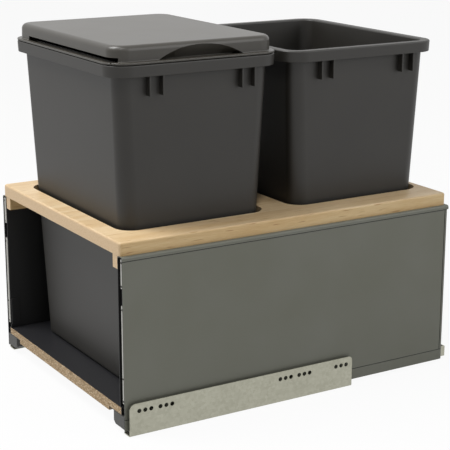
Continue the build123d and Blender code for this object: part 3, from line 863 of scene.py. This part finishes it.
def bin_shell(node):
    """The bin's shell at the place of its solid."""
    low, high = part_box(node)
    tall = (high.z - low.z) / MM
    corners = [
        (-WALL - FLOOR_STRIP, WALL, 0),
        (-WALL, WALL, FOOT_ROUND),
        (-WALL, tall, MOUTH_ROUND),
        (RIM_OVERHANG, tall, RIM_ROUND),
        (RIM_OVERHANG, tall - RIM_HEIGHT, SKIRT_ROUND),
        (RIM_OVERHANG - WALL, tall - RIM_HEIGHT, SKIRT_ROUND),
        (RIM_OVERHANG - WALL, tall - WALL, GUTTER_ROUND),
        (0, tall - WALL, GUTTER_ROUND),
        (0, 0, FOOT_ROUND),
        (-FLOOR_STRIP, 0, 0),
    ]
    mouth_x = high.x - low.x - 2 * RIM_OVERHANG * MM
    mouth_y = high.y - low.y - 2 * RIM_OVERHANG * MM
    return closed_up(
        grow(
            node + "_shell",
            rounded_ring,
            section("bin_section", corners),
            width=mouth_x - 2 * LEAN_X * tall * MM,
            depth=mouth_y - 2 * LEAN_Y * tall * MM,
            corner=FOOT_CORNER * MM,
            lean_x=LEAN_X,
            lean_y=LEAN_Y,
            closing=CORNER_CLOSING / tall,
            centre=((low.x + high.x) / 2, (low.y + high.y) / 2, low.z),
            material=bin_polypropylene,
        )
    )


print("bin walls", WALL, "mm, rims", RIM_HEIGHT, "mm high")

# %% [markdown]
# ## Grip ribs
# Under the rim, on the right and the left of each bin, the mould makes pairs of upright webs between wall
# and rim, where hands take hold. A web is a small plate with rounded edges. Eight of them could be
# placed by hand. The recipe copies one into a pair, the pair to two places, and those to both sides, so
# that one size changes them all. Half a turn about the middle makes the copies face the other way.

# %% Rib recipe: one web
EDGE_SHARE = 0.3
ribs_recipe, given = new_recipe(
    "grip_ribs",
    {
        "Reach": 0.01,
        "Thickness": 0.002,
        "Height": 0.02,
        "Spacing": 0.02,
        "Pair Distance": 0.1,
        "Half Width": 0.15,
        "Centre": (0.0, 0.0, 0.0),
        "Material": None,
    },
)
tree = ribs_recipe
plate = put(
    tree,
    "GeometryNodeCurvePrimitiveQuadrilateral",
    {"Width": given["Reach"], "Height": given["Thickness"]},
)
edge_radius = put(
    tree, "ShaderNodeMath", {0: given["Thickness"], 1: EDGE_SHARE}, operation="MULTIPLY"
)
rounded_plate = put(
    tree,
    "GeometryNodeFilletCurve",
    {"Curve": plate.outputs[0], "Count": 4, "Radius": edge_radius.outputs[0]},
    mode="POLY",
)
down = put(tree, "ShaderNodeMath", {0: given["Height"], 1: -1.0}, operation="MULTIPLY")
down_end = put(tree, "ShaderNodeCombineXYZ", {2: down.outputs[0]})
upright_line = put(
    tree,
    "GeometryNodeCurvePrimitiveLine",
    {"Start": down_end.outputs[0], "End": (0.0, 0.0, 0.0)},
)
web = put(
    tree,
    "GeometryNodeCurveToMesh",
    {
        "Curve": upright_line.outputs[0],
        "Profile Curve": rounded_plate.outputs[0],
        "Fill Caps": True,
    },
)
print("one web:", len(tree.nodes), "nodes")

# %% [markdown]
# ## Copies of a web
# An instance is a copy that takes hardly any memory until it is made real. Instances of instances make
# two webs, then four, and the turned copy of all four makes eight.

# %% Rib recipe: copies
half_reach = put(
    tree, "ShaderNodeMath", {0: given["Reach"], 1: -0.5}, operation="MULTIPLY"
)
out_by = put(
    tree, "ShaderNodeMath", {0: given["Half Width"], 1: half_reach.outputs[0]}, operation="ADD"
)
out_place = put(tree, "ShaderNodeCombineXYZ", {0: out_by.outputs[0]})
web_out = put(
    tree,
    "GeometryNodeTransform",
    {"Geometry": web.outputs[0], "Translation": out_place.outputs[0]},
)
copies = web_out.outputs[0]
for distance in ("Spacing", "Pair Distance"):
    half_gap = put(tree, "ShaderNodeMath", {0: given[distance], 1: -0.5}, operation="MULTIPLY")
    first = put(tree, "ShaderNodeCombineXYZ", {1: half_gap.outputs[0]})
    onward = put(tree, "ShaderNodeCombineXYZ", {1: given[distance]})
    two = put(
        tree,
        "GeometryNodeMeshLine",
        {"Count": 2, "Start Location": first.outputs[0], "Offset": onward.outputs[0]},
    )
    spread = put(
        tree, "GeometryNodeInstanceOnPoints", {"Points": two.outputs[0], "Instance": copies}
    )
    copies = spread.outputs[0]
other_side = put(
    tree,
    "GeometryNodeTransform",
    {"Geometry": copies, "Rotation": (0.0, 0.0, math.pi)},
)
both_sides = put(tree, "GeometryNodeJoinGeometry")
tree.links.new(copies, both_sides.inputs[0])
tree.links.new(other_side.outputs[0], both_sides.inputs[0])
in_place = put(
    tree,
    "GeometryNodeTransform",
    {"Geometry": both_sides.outputs[0], "Translation": given["Centre"]},
)
end_recipe(tree, in_place.outputs[0], given["Material"])
print("rib recipe:", len(tree.nodes), "nodes")

# %% [markdown]
# ## Bins with their ribs
# On the real bin the webs are of one piece with the wall and the rim's skirt. Each web starts inside the
# wall and ends inside the skirt, so that a Boolean union can make one closed skin of them. A web that only
# touched the wall would leave a crack.

# %% Make the bins
RIB_HEIGHT, RIB_THICKNESS, RIB_REACH, RIB_TOP_GAP = 26.5, 2.4, 11.2, 0.5
RIB_SPACING, RIB_PAIRS, GRIP_SHIFT = 19.6, 141.2, 6.6


def one_point(name):
    """A mesh with a single point, for a recipe that needs no seed shape."""
    mesh = bpy.data.meshes.new(name)
    mesh.from_pydata([(0, 0, 0)], [], [])
    point = bpy.data.objects.new(name, mesh)
    bpy.context.scene.collection.objects.link(point)
    return point


for node in ("bin_front", "bin_rear"):
    low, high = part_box(node)
    shell = bin_shell(node)
    grip_middle = (low.y + high.y) / 2 + GRIP_SHIFT * MM
    ribs_top = high.z - (WALL + RIB_TOP_GAP) * MM
    ribs = grow(
        node + "_ribs",
        ribs_recipe,
        one_point("rib_seed"),
        reach=RIB_REACH * MM,
        thickness=RIB_THICKNESS * MM,
        height=(RIB_HEIGHT + RIM_HEIGHT - WALL - RIB_TOP_GAP) * MM,
        spacing=RIB_SPACING * MM,
        pair_distance=RIB_PAIRS * MM,
        half_width=(high.x - low.x) / 2 - WALL * MM,
        centre=((low.x + high.x) / 2, grip_middle, ribs_top),
        material=bin_polypropylene,
    )
    joined = carved(shell, ribs, "UNION")
    joined.name = node + "_moulding"
    moulded_bin = smoothed(joined)
    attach(moulded_bin, node)
    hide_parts(node)
    print(moulded_bin.name, len(moulded_bin.data.polygons), "faces")

# %% [markdown]
# ## Lid
# The lid is a flat flange on the rim, a raised crown with a large rounding, and a lip inside the bin's
# mouth. One section could hold them all, but the crown leans and the flange doesn't. So flange and lip are
# one closed section round the rim's outline, and its outer edge lifts a little off the rim, which shows as
# a dark seam. The crown is an upturned cup on a smaller outline, with a small cove where it meets the
# flange, and it reaches a little into the flange, ready to be joined.

# %% Flange and lip
FLANGE = 3.3
SEAM_HEIGHT, SEAM_DEPTH, LIP_OUTSIDE, LIP_INSIDE, LIP_DEPTH = 0.8, 3, 15.2, 17.2, 6
FLANGE_ROUND, FINE_ROUND, STEP_ROUND, LIP_ROUND = 1.0, 0.4, 0.3, 0.6
bin_low, bin_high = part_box("bin_front")
rim_width, rim_depth = bin_high.x - bin_low.x, bin_high.y - bin_low.y
rim_corner = FOOT_CORNER - CORNER_CLOSING + RIM_OVERHANG
lid_centre = ((bin_low.x + bin_high.x) / 2, (bin_low.y + bin_high.y) / 2, bin_high.z)
flange = grow(
    "lid_flange",
    rounded_ring,
    section(
        "flange_section",
        [
            (0, FLANGE, FLANGE_ROUND),
            (0, SEAM_HEIGHT, FINE_ROUND),
            (-SEAM_DEPTH, SEAM_HEIGHT, FINE_ROUND),
            (-SEAM_DEPTH, 0, STEP_ROUND),
            (-LIP_OUTSIDE, 0, FINE_ROUND),
            (-LIP_OUTSIDE, -LIP_DEPTH, LIP_ROUND),
            (-LIP_INSIDE, -LIP_DEPTH, LIP_ROUND),
            (-LIP_INSIDE, FLANGE, FINE_ROUND),
        ],
        closed=True,
    ),
    width=rim_width,
    depth=rim_depth,
    corner=rim_corner * MM,
    centre=lid_centre,
    material=lid_polypropylene,
)
print("flange", len(flange.data.polygons), "faces")

# %% [markdown]
# ## Crown of the lid
# The crown's walls lean in as they rise, so that the mould lets go of it. It could be a box with rounded
# edges, but the bins' recipe does it too, with a lean the other way, and brings the cove along.

# %% Crown
CROWN_TOP, CROWN_WALL, CROWN_ROUND, CROWN_LEAN = 24.5, 2.5, 7.5, 0.024
CROWN_INSET_X, CROWN_INSET_Y, CROWN_STRIP = 8.5, 6.0, 20
CROWN_OVERLAP, CROWN_SUNK, COVE_OUT, COVE_ROUND = 0.1, 1.0, 1.8, 1.5
crown_width = rim_width - 2 * CROWN_INSET_X * MM
crown_depth = rim_depth - 2 * CROWN_INSET_Y * MM
crown = closed_up(
    grow(
        "lid_crown",
        rounded_ring,
        section(
            "crown_section",
            [
                (-CROWN_STRIP, CROWN_TOP, 0),
                (0, CROWN_TOP, CROWN_ROUND),
                (0, FLANGE - CROWN_OVERLAP, COVE_ROUND),
                (COVE_OUT, FLANGE - CROWN_OVERLAP, 0),
                (COVE_OUT, FLANGE - CROWN_SUNK, 0),
                (-CROWN_WALL, FLANGE - CROWN_SUNK, 0),
                (-CROWN_WALL, CROWN_TOP - CROWN_WALL, CROWN_ROUND - CROWN_WALL),
                (-CROWN_STRIP, CROWN_TOP - CROWN_WALL, 0),
            ],
            steps=10,
        ),
        width=crown_width,
        depth=crown_depth,
        corner=(rim_corner - (CROWN_INSET_X + CROWN_INSET_Y) / 2) * MM,
        lean_x=-CROWN_LEAN,
        lean_y=-CROWN_LEAN,
        closing=CROWN_LEAN,
        centre=lid_centre,
        material=lid_polypropylene,
    )
)
print("crown", [round(v / MM, 1) for v in (crown_width, crown_depth)], "mm")

# %% [markdown]
# ## Finger scoop
# Fingers lift the lid at an arched pocket in the crown's right wall. A flat arch could be pressed in by
# moving points, but the real pocket has its own wall and a rounded edge. So it is a loft between arches
# that shrink inwards, each given as how far it stands inside the crown's face, its half width and its
# height. The first one stands outside the face and is wider, and the next ones narrow quickly, which
# rounds the edge. A larger loft is joined on before the cut, to be the wall behind it.

# %% Scoop
POCKET_ARCHES = [
    (-2.0, 66.6, 19.8),
    (0.1, 64.8, 18.0),
    (0.5, 64.2, 17.4),
    (1.2, 63.8, 16.9),
    (10.5, 57.0, 1.0),
]
POCKET_WALL_ARCHES = [(1.6, 67.5, 19.8), (14.5, 58.5, 5.4)]
POCKET_FLOOR = 2.4


def lid_tool(name, shell):
    """A lid-coloured piece from a bmesh, to join or cut with."""
    mesh = bpy.data.meshes.new(name)
    shell.to_mesh(mesh)
    shell.free()
    mesh.materials.append(lid_polypropylene)
    made = bpy.data.objects.new(name, mesh)
    bpy.context.scene.collection.objects.link(made)
    return made


def arch_loft(name, arches, face, foot, middle, steps=28):
    """A closed loft through upright arches (inset from the face, half width, height) on one foot."""
    shell = bmesh.new()
    rings = []
    for inset, half_width, rise in arches:
        radius = (half_width**2 + rise**2) / (2 * rise)
        open_angle = math.asin(min(1.0, half_width / radius))
        ring = []
        for step in range(steps + 1):
            angle = open_angle * (2 * step / steps - 1)
            along, up = radius * math.sin(angle), rise - radius * (1 - math.cos(angle))
            place = ((face - inset) * MM, middle + along * MM, foot + max(up, 0.0) * MM)
            ring.append(shell.verts.new(place))
        rings.append(ring)
    for one, other in zip(rings, rings[1:]):
        for a in range(len(one)):
            b = (a + 1) % len(one)
            shell.faces.new((one[a], one[b], other[b], other[a]))
    shell.faces.new(rings[0])
    shell.faces.new(rings[-1])
    bmesh.ops.recalc_face_normals(shell, faces=shell.faces)
    return lid_tool(name, shell)


face_x = (lid_centre[0] + crown_width / 2) / MM
scoop_middle = lid_centre[1] + GRIP_SHIFT * MM
scoop_foot = lid_centre[2] + (FLANGE - CROWN_OVERLAP) * MM
wall_foot = scoop_foot - POCKET_FLOOR * MM
pocket_wall = arch_loft("pocket_wall", POCKET_WALL_ARCHES, face_x, wall_foot, scoop_middle)
pocket = arch_loft("pocket", POCKET_ARCHES, face_x, scoop_foot, scoop_middle)
crown = carved(crown, pocket_wall, "UNION")
crown = carved(crown, pocket)
print("crown with its pocket:", len(crown.data.polygons), "faces")

# %% [markdown]
# ## Front slot
# Along the front, a straight slot parts crown and flange, with a shallow groove in the flange below it.
# Leaving a gap in the section would open the lid all round, so plain blocks cut both.

# %% Slot
SLOT_LEFT, SLOT_RIGHT = 112, 152
SLOT_BEFORE, SLOT_BEHIND, SLOT_BELOW, SLOT_ABOVE = 4, 15, 0.4, 5.8
GROOVE_BEFORE, GROOVE_BEHIND, GROOVE_BELOW, GROOVE_ABOVE = 1.5, 8, 1.5, 1


def block(name, low, high):
    """A plain block between two opposite corners, to cut with."""
    shell = bmesh.new()
    size, middle = Vector(high) - Vector(low), (Vector(high) + Vector(low)) / 2
    bmesh.ops.create_cube(shell, size=1)
    bmesh.ops.scale(shell, vec=size, verts=shell.verts)
    bmesh.ops.translate(shell, vec=middle, verts=shell.verts)
    return lid_tool(name, shell)


slot_left, slot_right = lid_centre[0] - SLOT_LEFT * MM, lid_centre[0] + SLOT_RIGHT * MM
crown_front = lid_centre[1] - crown_depth / 2
flange_top = lid_centre[2] + FLANGE * MM
slot_cut = block(
    "slot_cut",
    (slot_left, crown_front - SLOT_BEFORE * MM, flange_top - SLOT_BELOW * MM),
    (slot_right, crown_front + SLOT_BEHIND * MM, flange_top + SLOT_ABOVE * MM),
)
groove_cut = block(
    "groove_cut",
    (slot_left, crown_front - GROOVE_BEFORE * MM, flange_top - GROOVE_BELOW * MM),
    (slot_right, crown_front + GROOVE_BEHIND * MM, flange_top + GROOVE_ABOVE * MM),
)
crown = carved(crown, slot_cut)
flange = carved(closed_up(flange), groove_cut)
print("slot", SLOT_LEFT + SLOT_RIGHT, "mm long")

# %% [markdown]
# ## Joining the lid
# Crown and flange are one moulding, so they are joined before the shading. The angle up to which faces
# are shaded smoothly is larger than the bins', because the pocket's flared edge is made of few faces.

# %% Join the lid
LID_SHARP_DEGREES = 40
lid = carved(crown, flange, "UNION")
lid.name = "lid_moulding"
moulded_lid = smoothed(lid, LID_SHARP_DEGREES)
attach(moulded_lid, "lid")
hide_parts("lid")
print("lid", len(moulded_lid.data.polygons), "faces")

# %% [markdown]
# ## Screws
# Pan-head screws hold the cleats, the maple frame, the bottom panel and the back brackets. All have a
# domed head with a cross recess. Each could be modelled where it sits, but they are all alike. So the
# recipe builds one screw, from a ball flattened below its middle, two blades that cut the cross, and a
# plain shank. It copies the screw to every place, with the head turned the way the stored arrow points
# and a random turn about it, as screws are never lined up.

# %% Screw recipe: head
screws_recipe, given = new_recipe(
    "pan_head_screws",
    {
        "Head Radius": 0.0036,
        "Head Height": 0.0022,
        "Shank Radius": 0.0018,
        "Shank Length": 0.01,
        "Recess": (0.0038, 0.0009, 0.0026),
        "Spin Seed": 1.0,
        "Material": None,
    },
)
tree = screws_recipe
ball = put(tree, "GeometryNodeMeshUVSphere", {"Segments": 24, "Rings": 16, "Radius": 1.0})
ball_place = put(tree, "GeometryNodeInputPosition")
ball_parts = put(tree, "ShaderNodeSeparateXYZ", {0: ball_place.outputs[0]})
above_seat = put(tree, "ShaderNodeMath", {0: ball_parts.outputs[2], 1: 0.0}, operation="MAXIMUM")
dome_place = put(
    tree,
    "ShaderNodeCombineXYZ",
    {0: ball_parts.outputs[0], 1: ball_parts.outputs[1], 2: above_seat.outputs[0]},
)
dome_size = put(
    tree,
    "ShaderNodeCombineXYZ",
    {0: given["Head Radius"], 1: given["Head Radius"], 2: given["Head Height"]},
)
dome_scaled = put(
    tree,
    "ShaderNodeVectorMath",
    {0: dome_place.outputs[0], 1: dome_size.outputs[0]},
    operation="MULTIPLY",
)
dome = put(
    tree,
    "GeometryNodeSetPosition",
    {"Geometry": ball.outputs[0], "Position": dome_scaled.outputs[0]},
)
recess_high = put(tree, "ShaderNodeCombineXYZ", {2: given["Head Height"]})
recess_tools = []
for turn in (0.0, math.pi / 2):
    blade = put(tree, "GeometryNodeMeshCube", {"Size": given["Recess"]})
    turned = put(
        tree,
        "GeometryNodeTransform",
        {
            "Geometry": blade.outputs[0],
            "Translation": recess_high.outputs[0],
            "Rotation": (0.0, 0.0, turn),
        },
    )
    recess_tools.append(turned.outputs[0])
head = put(tree, "GeometryNodeMeshBoolean", {"Mesh 1": dome.outputs[0]}, operation="DIFFERENCE")
for tool in recess_tools:
    tree.links.new(tool, head.inputs["Mesh 2"])
print("screw head:", len(tree.nodes), "nodes")

# %% [markdown]
# ## Shank and copies
# Hardly anything of a shank can be seen, so it is a plain cylinder. A thread would cost thousands of
# faces for nothing.

# %% Screw recipe: shank and copies
half_shank = put(
    tree, "ShaderNodeMath", {0: given["Shank Length"], 1: -0.5}, operation="MULTIPLY"
)
shank_place = put(tree, "ShaderNodeCombineXYZ", {2: half_shank.outputs[0]})
shank = put(
    tree,
    "GeometryNodeMeshCylinder",
    {"Vertices": 16, "Radius": given["Shank Radius"], "Depth": given["Shank Length"]},
)
shank_down = put(
    tree,
    "GeometryNodeTransform",
    {"Geometry": shank.outputs[0], "Translation": shank_place.outputs[0]},
)
whole = put(tree, "GeometryNodeJoinGeometry")
tree.links.new(head.outputs[0], whole.inputs[0])
tree.links.new(shank_down.outputs[0], whole.inputs[0])
arrow = put(
    tree, "GeometryNodeInputNamedAttribute", {"Name": "arrow"}, data_type="FLOAT_VECTOR"
)
upward = put(
    tree,
    "FunctionNodeAlignRotationToVector",
    {"Vector": arrow.outputs["Attribute"]},
    axis="Z",
)
turn_by = put(
    tree,
    "FunctionNodeRandomValue",
    {"Min": 0.0, "Max": math.pi / 2, "Seed": given["Spin Seed"]},
    data_type="FLOAT",
)
turn_about = put(tree, "ShaderNodeCombineXYZ", {2: turn_by.outputs["Value"]})
spun = put(
    tree,
    "FunctionNodeRotateRotation",
    {"Rotation": upward.outputs[0], "Rotate By": turn_about.outputs[0]},
    rotation_space="LOCAL",
)
screws = put(
    tree,
    "GeometryNodeInstanceOnPoints",
    {"Points": given["Geometry"], "Instance": whole.outputs[0], "Rotation": spun.outputs[0]},
)
end_recipe(tree, screws.outputs[0], given["Material"])
print("screw recipe:", len(tree.nodes), "nodes")

# %% [markdown]
# ## Where the screws sit
# The screws could be placed from a list of coordinates, but the solid screws know their places and stay
# right when the solid model changes. Points that lie close together across the screw's axis belong to one
# screw, and the underside of its head lies one head's height inside its outer end.

# %% Find the screws
SCREW_HEAD, SCREW_APART, TIP_GAP = 2.2 * MM, 9 * MM, 0.4 * MM


def gathered(node, axis):
    """The corners of a node's solid screws, gathered screw by screw, with their heights on the axis."""
    rods = []
    for corner in nodes[node].data.vertices:
        flat = corner.co.copy()
        flat[axis] = 0
        side_of = math.copysign(1, corner.co.x)
        for rod in rods:
            if (rod["flat"] - flat).length < SCREW_APART and rod["side"] == side_of:
                rod["along"].append(corner.co[axis])
                rod["all"].append(flat)
                break
        else:
            rods.append(
                {"flat": flat, "side": side_of, "all": [flat], "along": [corner.co[axis]]}
            )
    return rods


def screw_places(node, axis, way):
    """Head seats, outward arrows and shank lengths; a way of 0 turns the heads to the middle."""
    seats = []
    for rod in gathered(node, axis):
        lowest, highest = (
            Vector(pick(corner[i] for corner in rod["all"]) for i in range(3))
            for pick in (min, max)
        )
        seat = (lowest + highest) / 2
        head_way = way or -rod["side"]
        outer = max(rod["along"]) if head_way > 0 else min(rod["along"])
        seat[axis] = outer - head_way * SCREW_HEAD
        arrow = Vector((0, 0, 0))
        arrow[axis] = head_way
        seats.append((seat, arrow, max(rod["along"]) - min(rod["along"]) - SCREW_HEAD))
    return seats


print("screw nodes:", sorted(name for name in nodes if name.endswith("_screws")))

# %% [markdown]
# ## The screws themselves
# Each group of screws is one piece, as in the solid model. It grows from one point for each head, with an
# arrow stored on it, and a number of its own sets the random turns, so that they stay the same each time.

# %% Turn the screws
screw_ways = {
    "bottom_screws": (2, -1),
    "frame_screws": (2, -1),
    "cleat_screws": (0, 0),
    "back_screws": (1, 1),
}
FIRST_SEED = 3
for index, (node, (axis, way)) in enumerate(screw_ways.items()):
    seats = screw_places(node, axis, way)
    mesh = bpy.data.meshes.new(node + "_seats")
    mesh.from_pydata([seat for seat, _, _ in seats], [], [])
    arrows = mesh.attributes.new("arrow", "FLOAT_VECTOR", "POINT")
    for entry, (_, arrow, _) in zip(arrows.data, seats):
        entry.vector = arrow
    seed = bpy.data.objects.new(node + "_seats", mesh)
    bpy.context.scene.collection.objects.link(seed)
    made = grow(
        node + "_turned",
        screws_recipe,
        seed,
        shank_length=seats[0][2] - TIP_GAP,
        spin_seed=float(index + FIRST_SEED),
        material=bright_screw_steel,
    )
    made = smoothed(made)
    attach(made, "drawer")
    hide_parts(node)
    print(node, len(seats), "screws, shank", round(seats[0][2] / MM, 1), "mm")

# %% [markdown]
# ## Floor and backdrop
# The unit stands on white paper in front of white. A curved paper sweep could be modelled, but a flat
# floor and a white world meet without a border when both are plain white to the camera. They are white in
# reflections too, because near-black plastic shows little else. A small share of the floor stays matte
# even so, which keeps a soft shadow under the unit. For all other rays the floor is matte paper and the
# world is dim, so that the lamps shape the object.

# %% Floor and backdrop
WHITE = (1.0, 1.0, 1.0, 1.0)
FLOOR_MATTE, FLOOR_WHITE_SHARE, FLOOR_REACH = 0.8, 0.94, 12.0
FLOOR_GAP = 0.5 * MM
WORLD_DIM, WORLD_PLAIN = 0.06, 1.0


def seen_plainly(tree):
    """1 for rays from the camera, in reflections and through clear pieces, and 0 for all others."""
    path = put(tree, "ShaderNodeLightPath")
    direct = put(
        tree,
        "ShaderNodeMath",
        {0: path.outputs["Is Camera Ray"], 1: path.outputs["Is Glossy Ray"]},
        operation="MAXIMUM",
    )
    seen = put(
        tree,
        "ShaderNodeMath",
        {0: direct.outputs[0], 1: path.outputs["Is Transmission Ray"]},
        operation="MAXIMUM",
    )
    return seen.outputs[0]


white_paper, tree = new_material("white_paper")
matte = put(tree, "ShaderNodeBsdfDiffuse", {"Color": (FLOOR_MATTE, FLOOR_MATTE, FLOOR_MATTE, 1.0)})
white = put(tree, "ShaderNodeEmission", {"Color": WHITE, "Strength": 1.0})
share = put(
    tree, "ShaderNodeMath", {0: seen_plainly(tree), 1: FLOOR_WHITE_SHARE}, operation="MULTIPLY"
)
mixed = put(
    tree, "ShaderNodeMixShader", {0: share.outputs[0], 1: matte.outputs[0], 2: white.outputs[0]}
)
put(tree, "ShaderNodeOutputMaterial", {"Surface": mixed.outputs[0]})
floor_mesh = bpy.data.meshes.new("studio_floor")
quarters = ((-1, -1), (1, -1), (1, 1), (-1, 1))
floor_corners = [(x * FLOOR_REACH, y * FLOOR_REACH, 0) for x, y in quarters]
floor_mesh.from_pydata(floor_corners, [], [(0, 1, 2, 3)])
floor_mesh.materials.append(white_paper)
floor = bpy.data.objects.new("studio_floor", floor_mesh)
bpy.context.scene.collection.objects.link(floor)
floor.location.z = cad_low.z - FLOOR_GAP

world = bpy.data.worlds.new("studio")
bpy.context.scene.world = world
world.use_nodes = True
tree = world.node_tree
tree.nodes.clear()
strength = put(
    tree,
    "ShaderNodeMapRange",
    {0: seen_plainly(tree), "To Min": WORLD_DIM, "To Max": WORLD_PLAIN},
)
glow = put(tree, "ShaderNodeBackground", {"Color": WHITE, "Strength": strength.outputs[0]})
put(tree, "ShaderNodeOutputWorld", {"Surface": glow.outputs[0]})
print("floor at", round(floor.location.z / MM, 2), "mm")

# %% [markdown]
# ## Lamps
# A large soft lamp high at the front left lights the tops and the fronts. A very wide one behind on the
# right lights the right sides, more towards the back than at the front. A small one, high up on the
# camera's side, leaves the glint on the lid's rounding. The world alone could light it all, but then
# every face would be as bright as the next. The powers were found by rendering each lamp alone.


# %% Lamps
def softbox(name, place, size, watts, aim=(0, 0, 0.25)):
    """A square area lamp that faces the object."""
    lamp_data = bpy.data.lights.new(name, "AREA")
    lamp_data.size = size
    lamp_data.energy = watts
    lamp = bpy.data.objects.new(name, lamp_data)
    lamp.location = place
    direction = Vector(aim) - lamp.location
    lamp.rotation_euler = direction.to_track_quat("-Z", "Y").to_euler()
    bpy.context.scene.collection.objects.link(lamp)


softbox("softbox_above", place=(-0.55, -1.25, 2.55), size=1.3, watts=71)
softbox("softbox_right", place=(2.3, 1.7, 1.85), size=2.4, watts=36)
softbox("softbox_small", place=(1.2, -0.75, 2.4), size=0.25, watts=12)
bpy.context.scene.view_settings.view_transform = "Standard"
print("lamps:", len(bpy.data.lights))
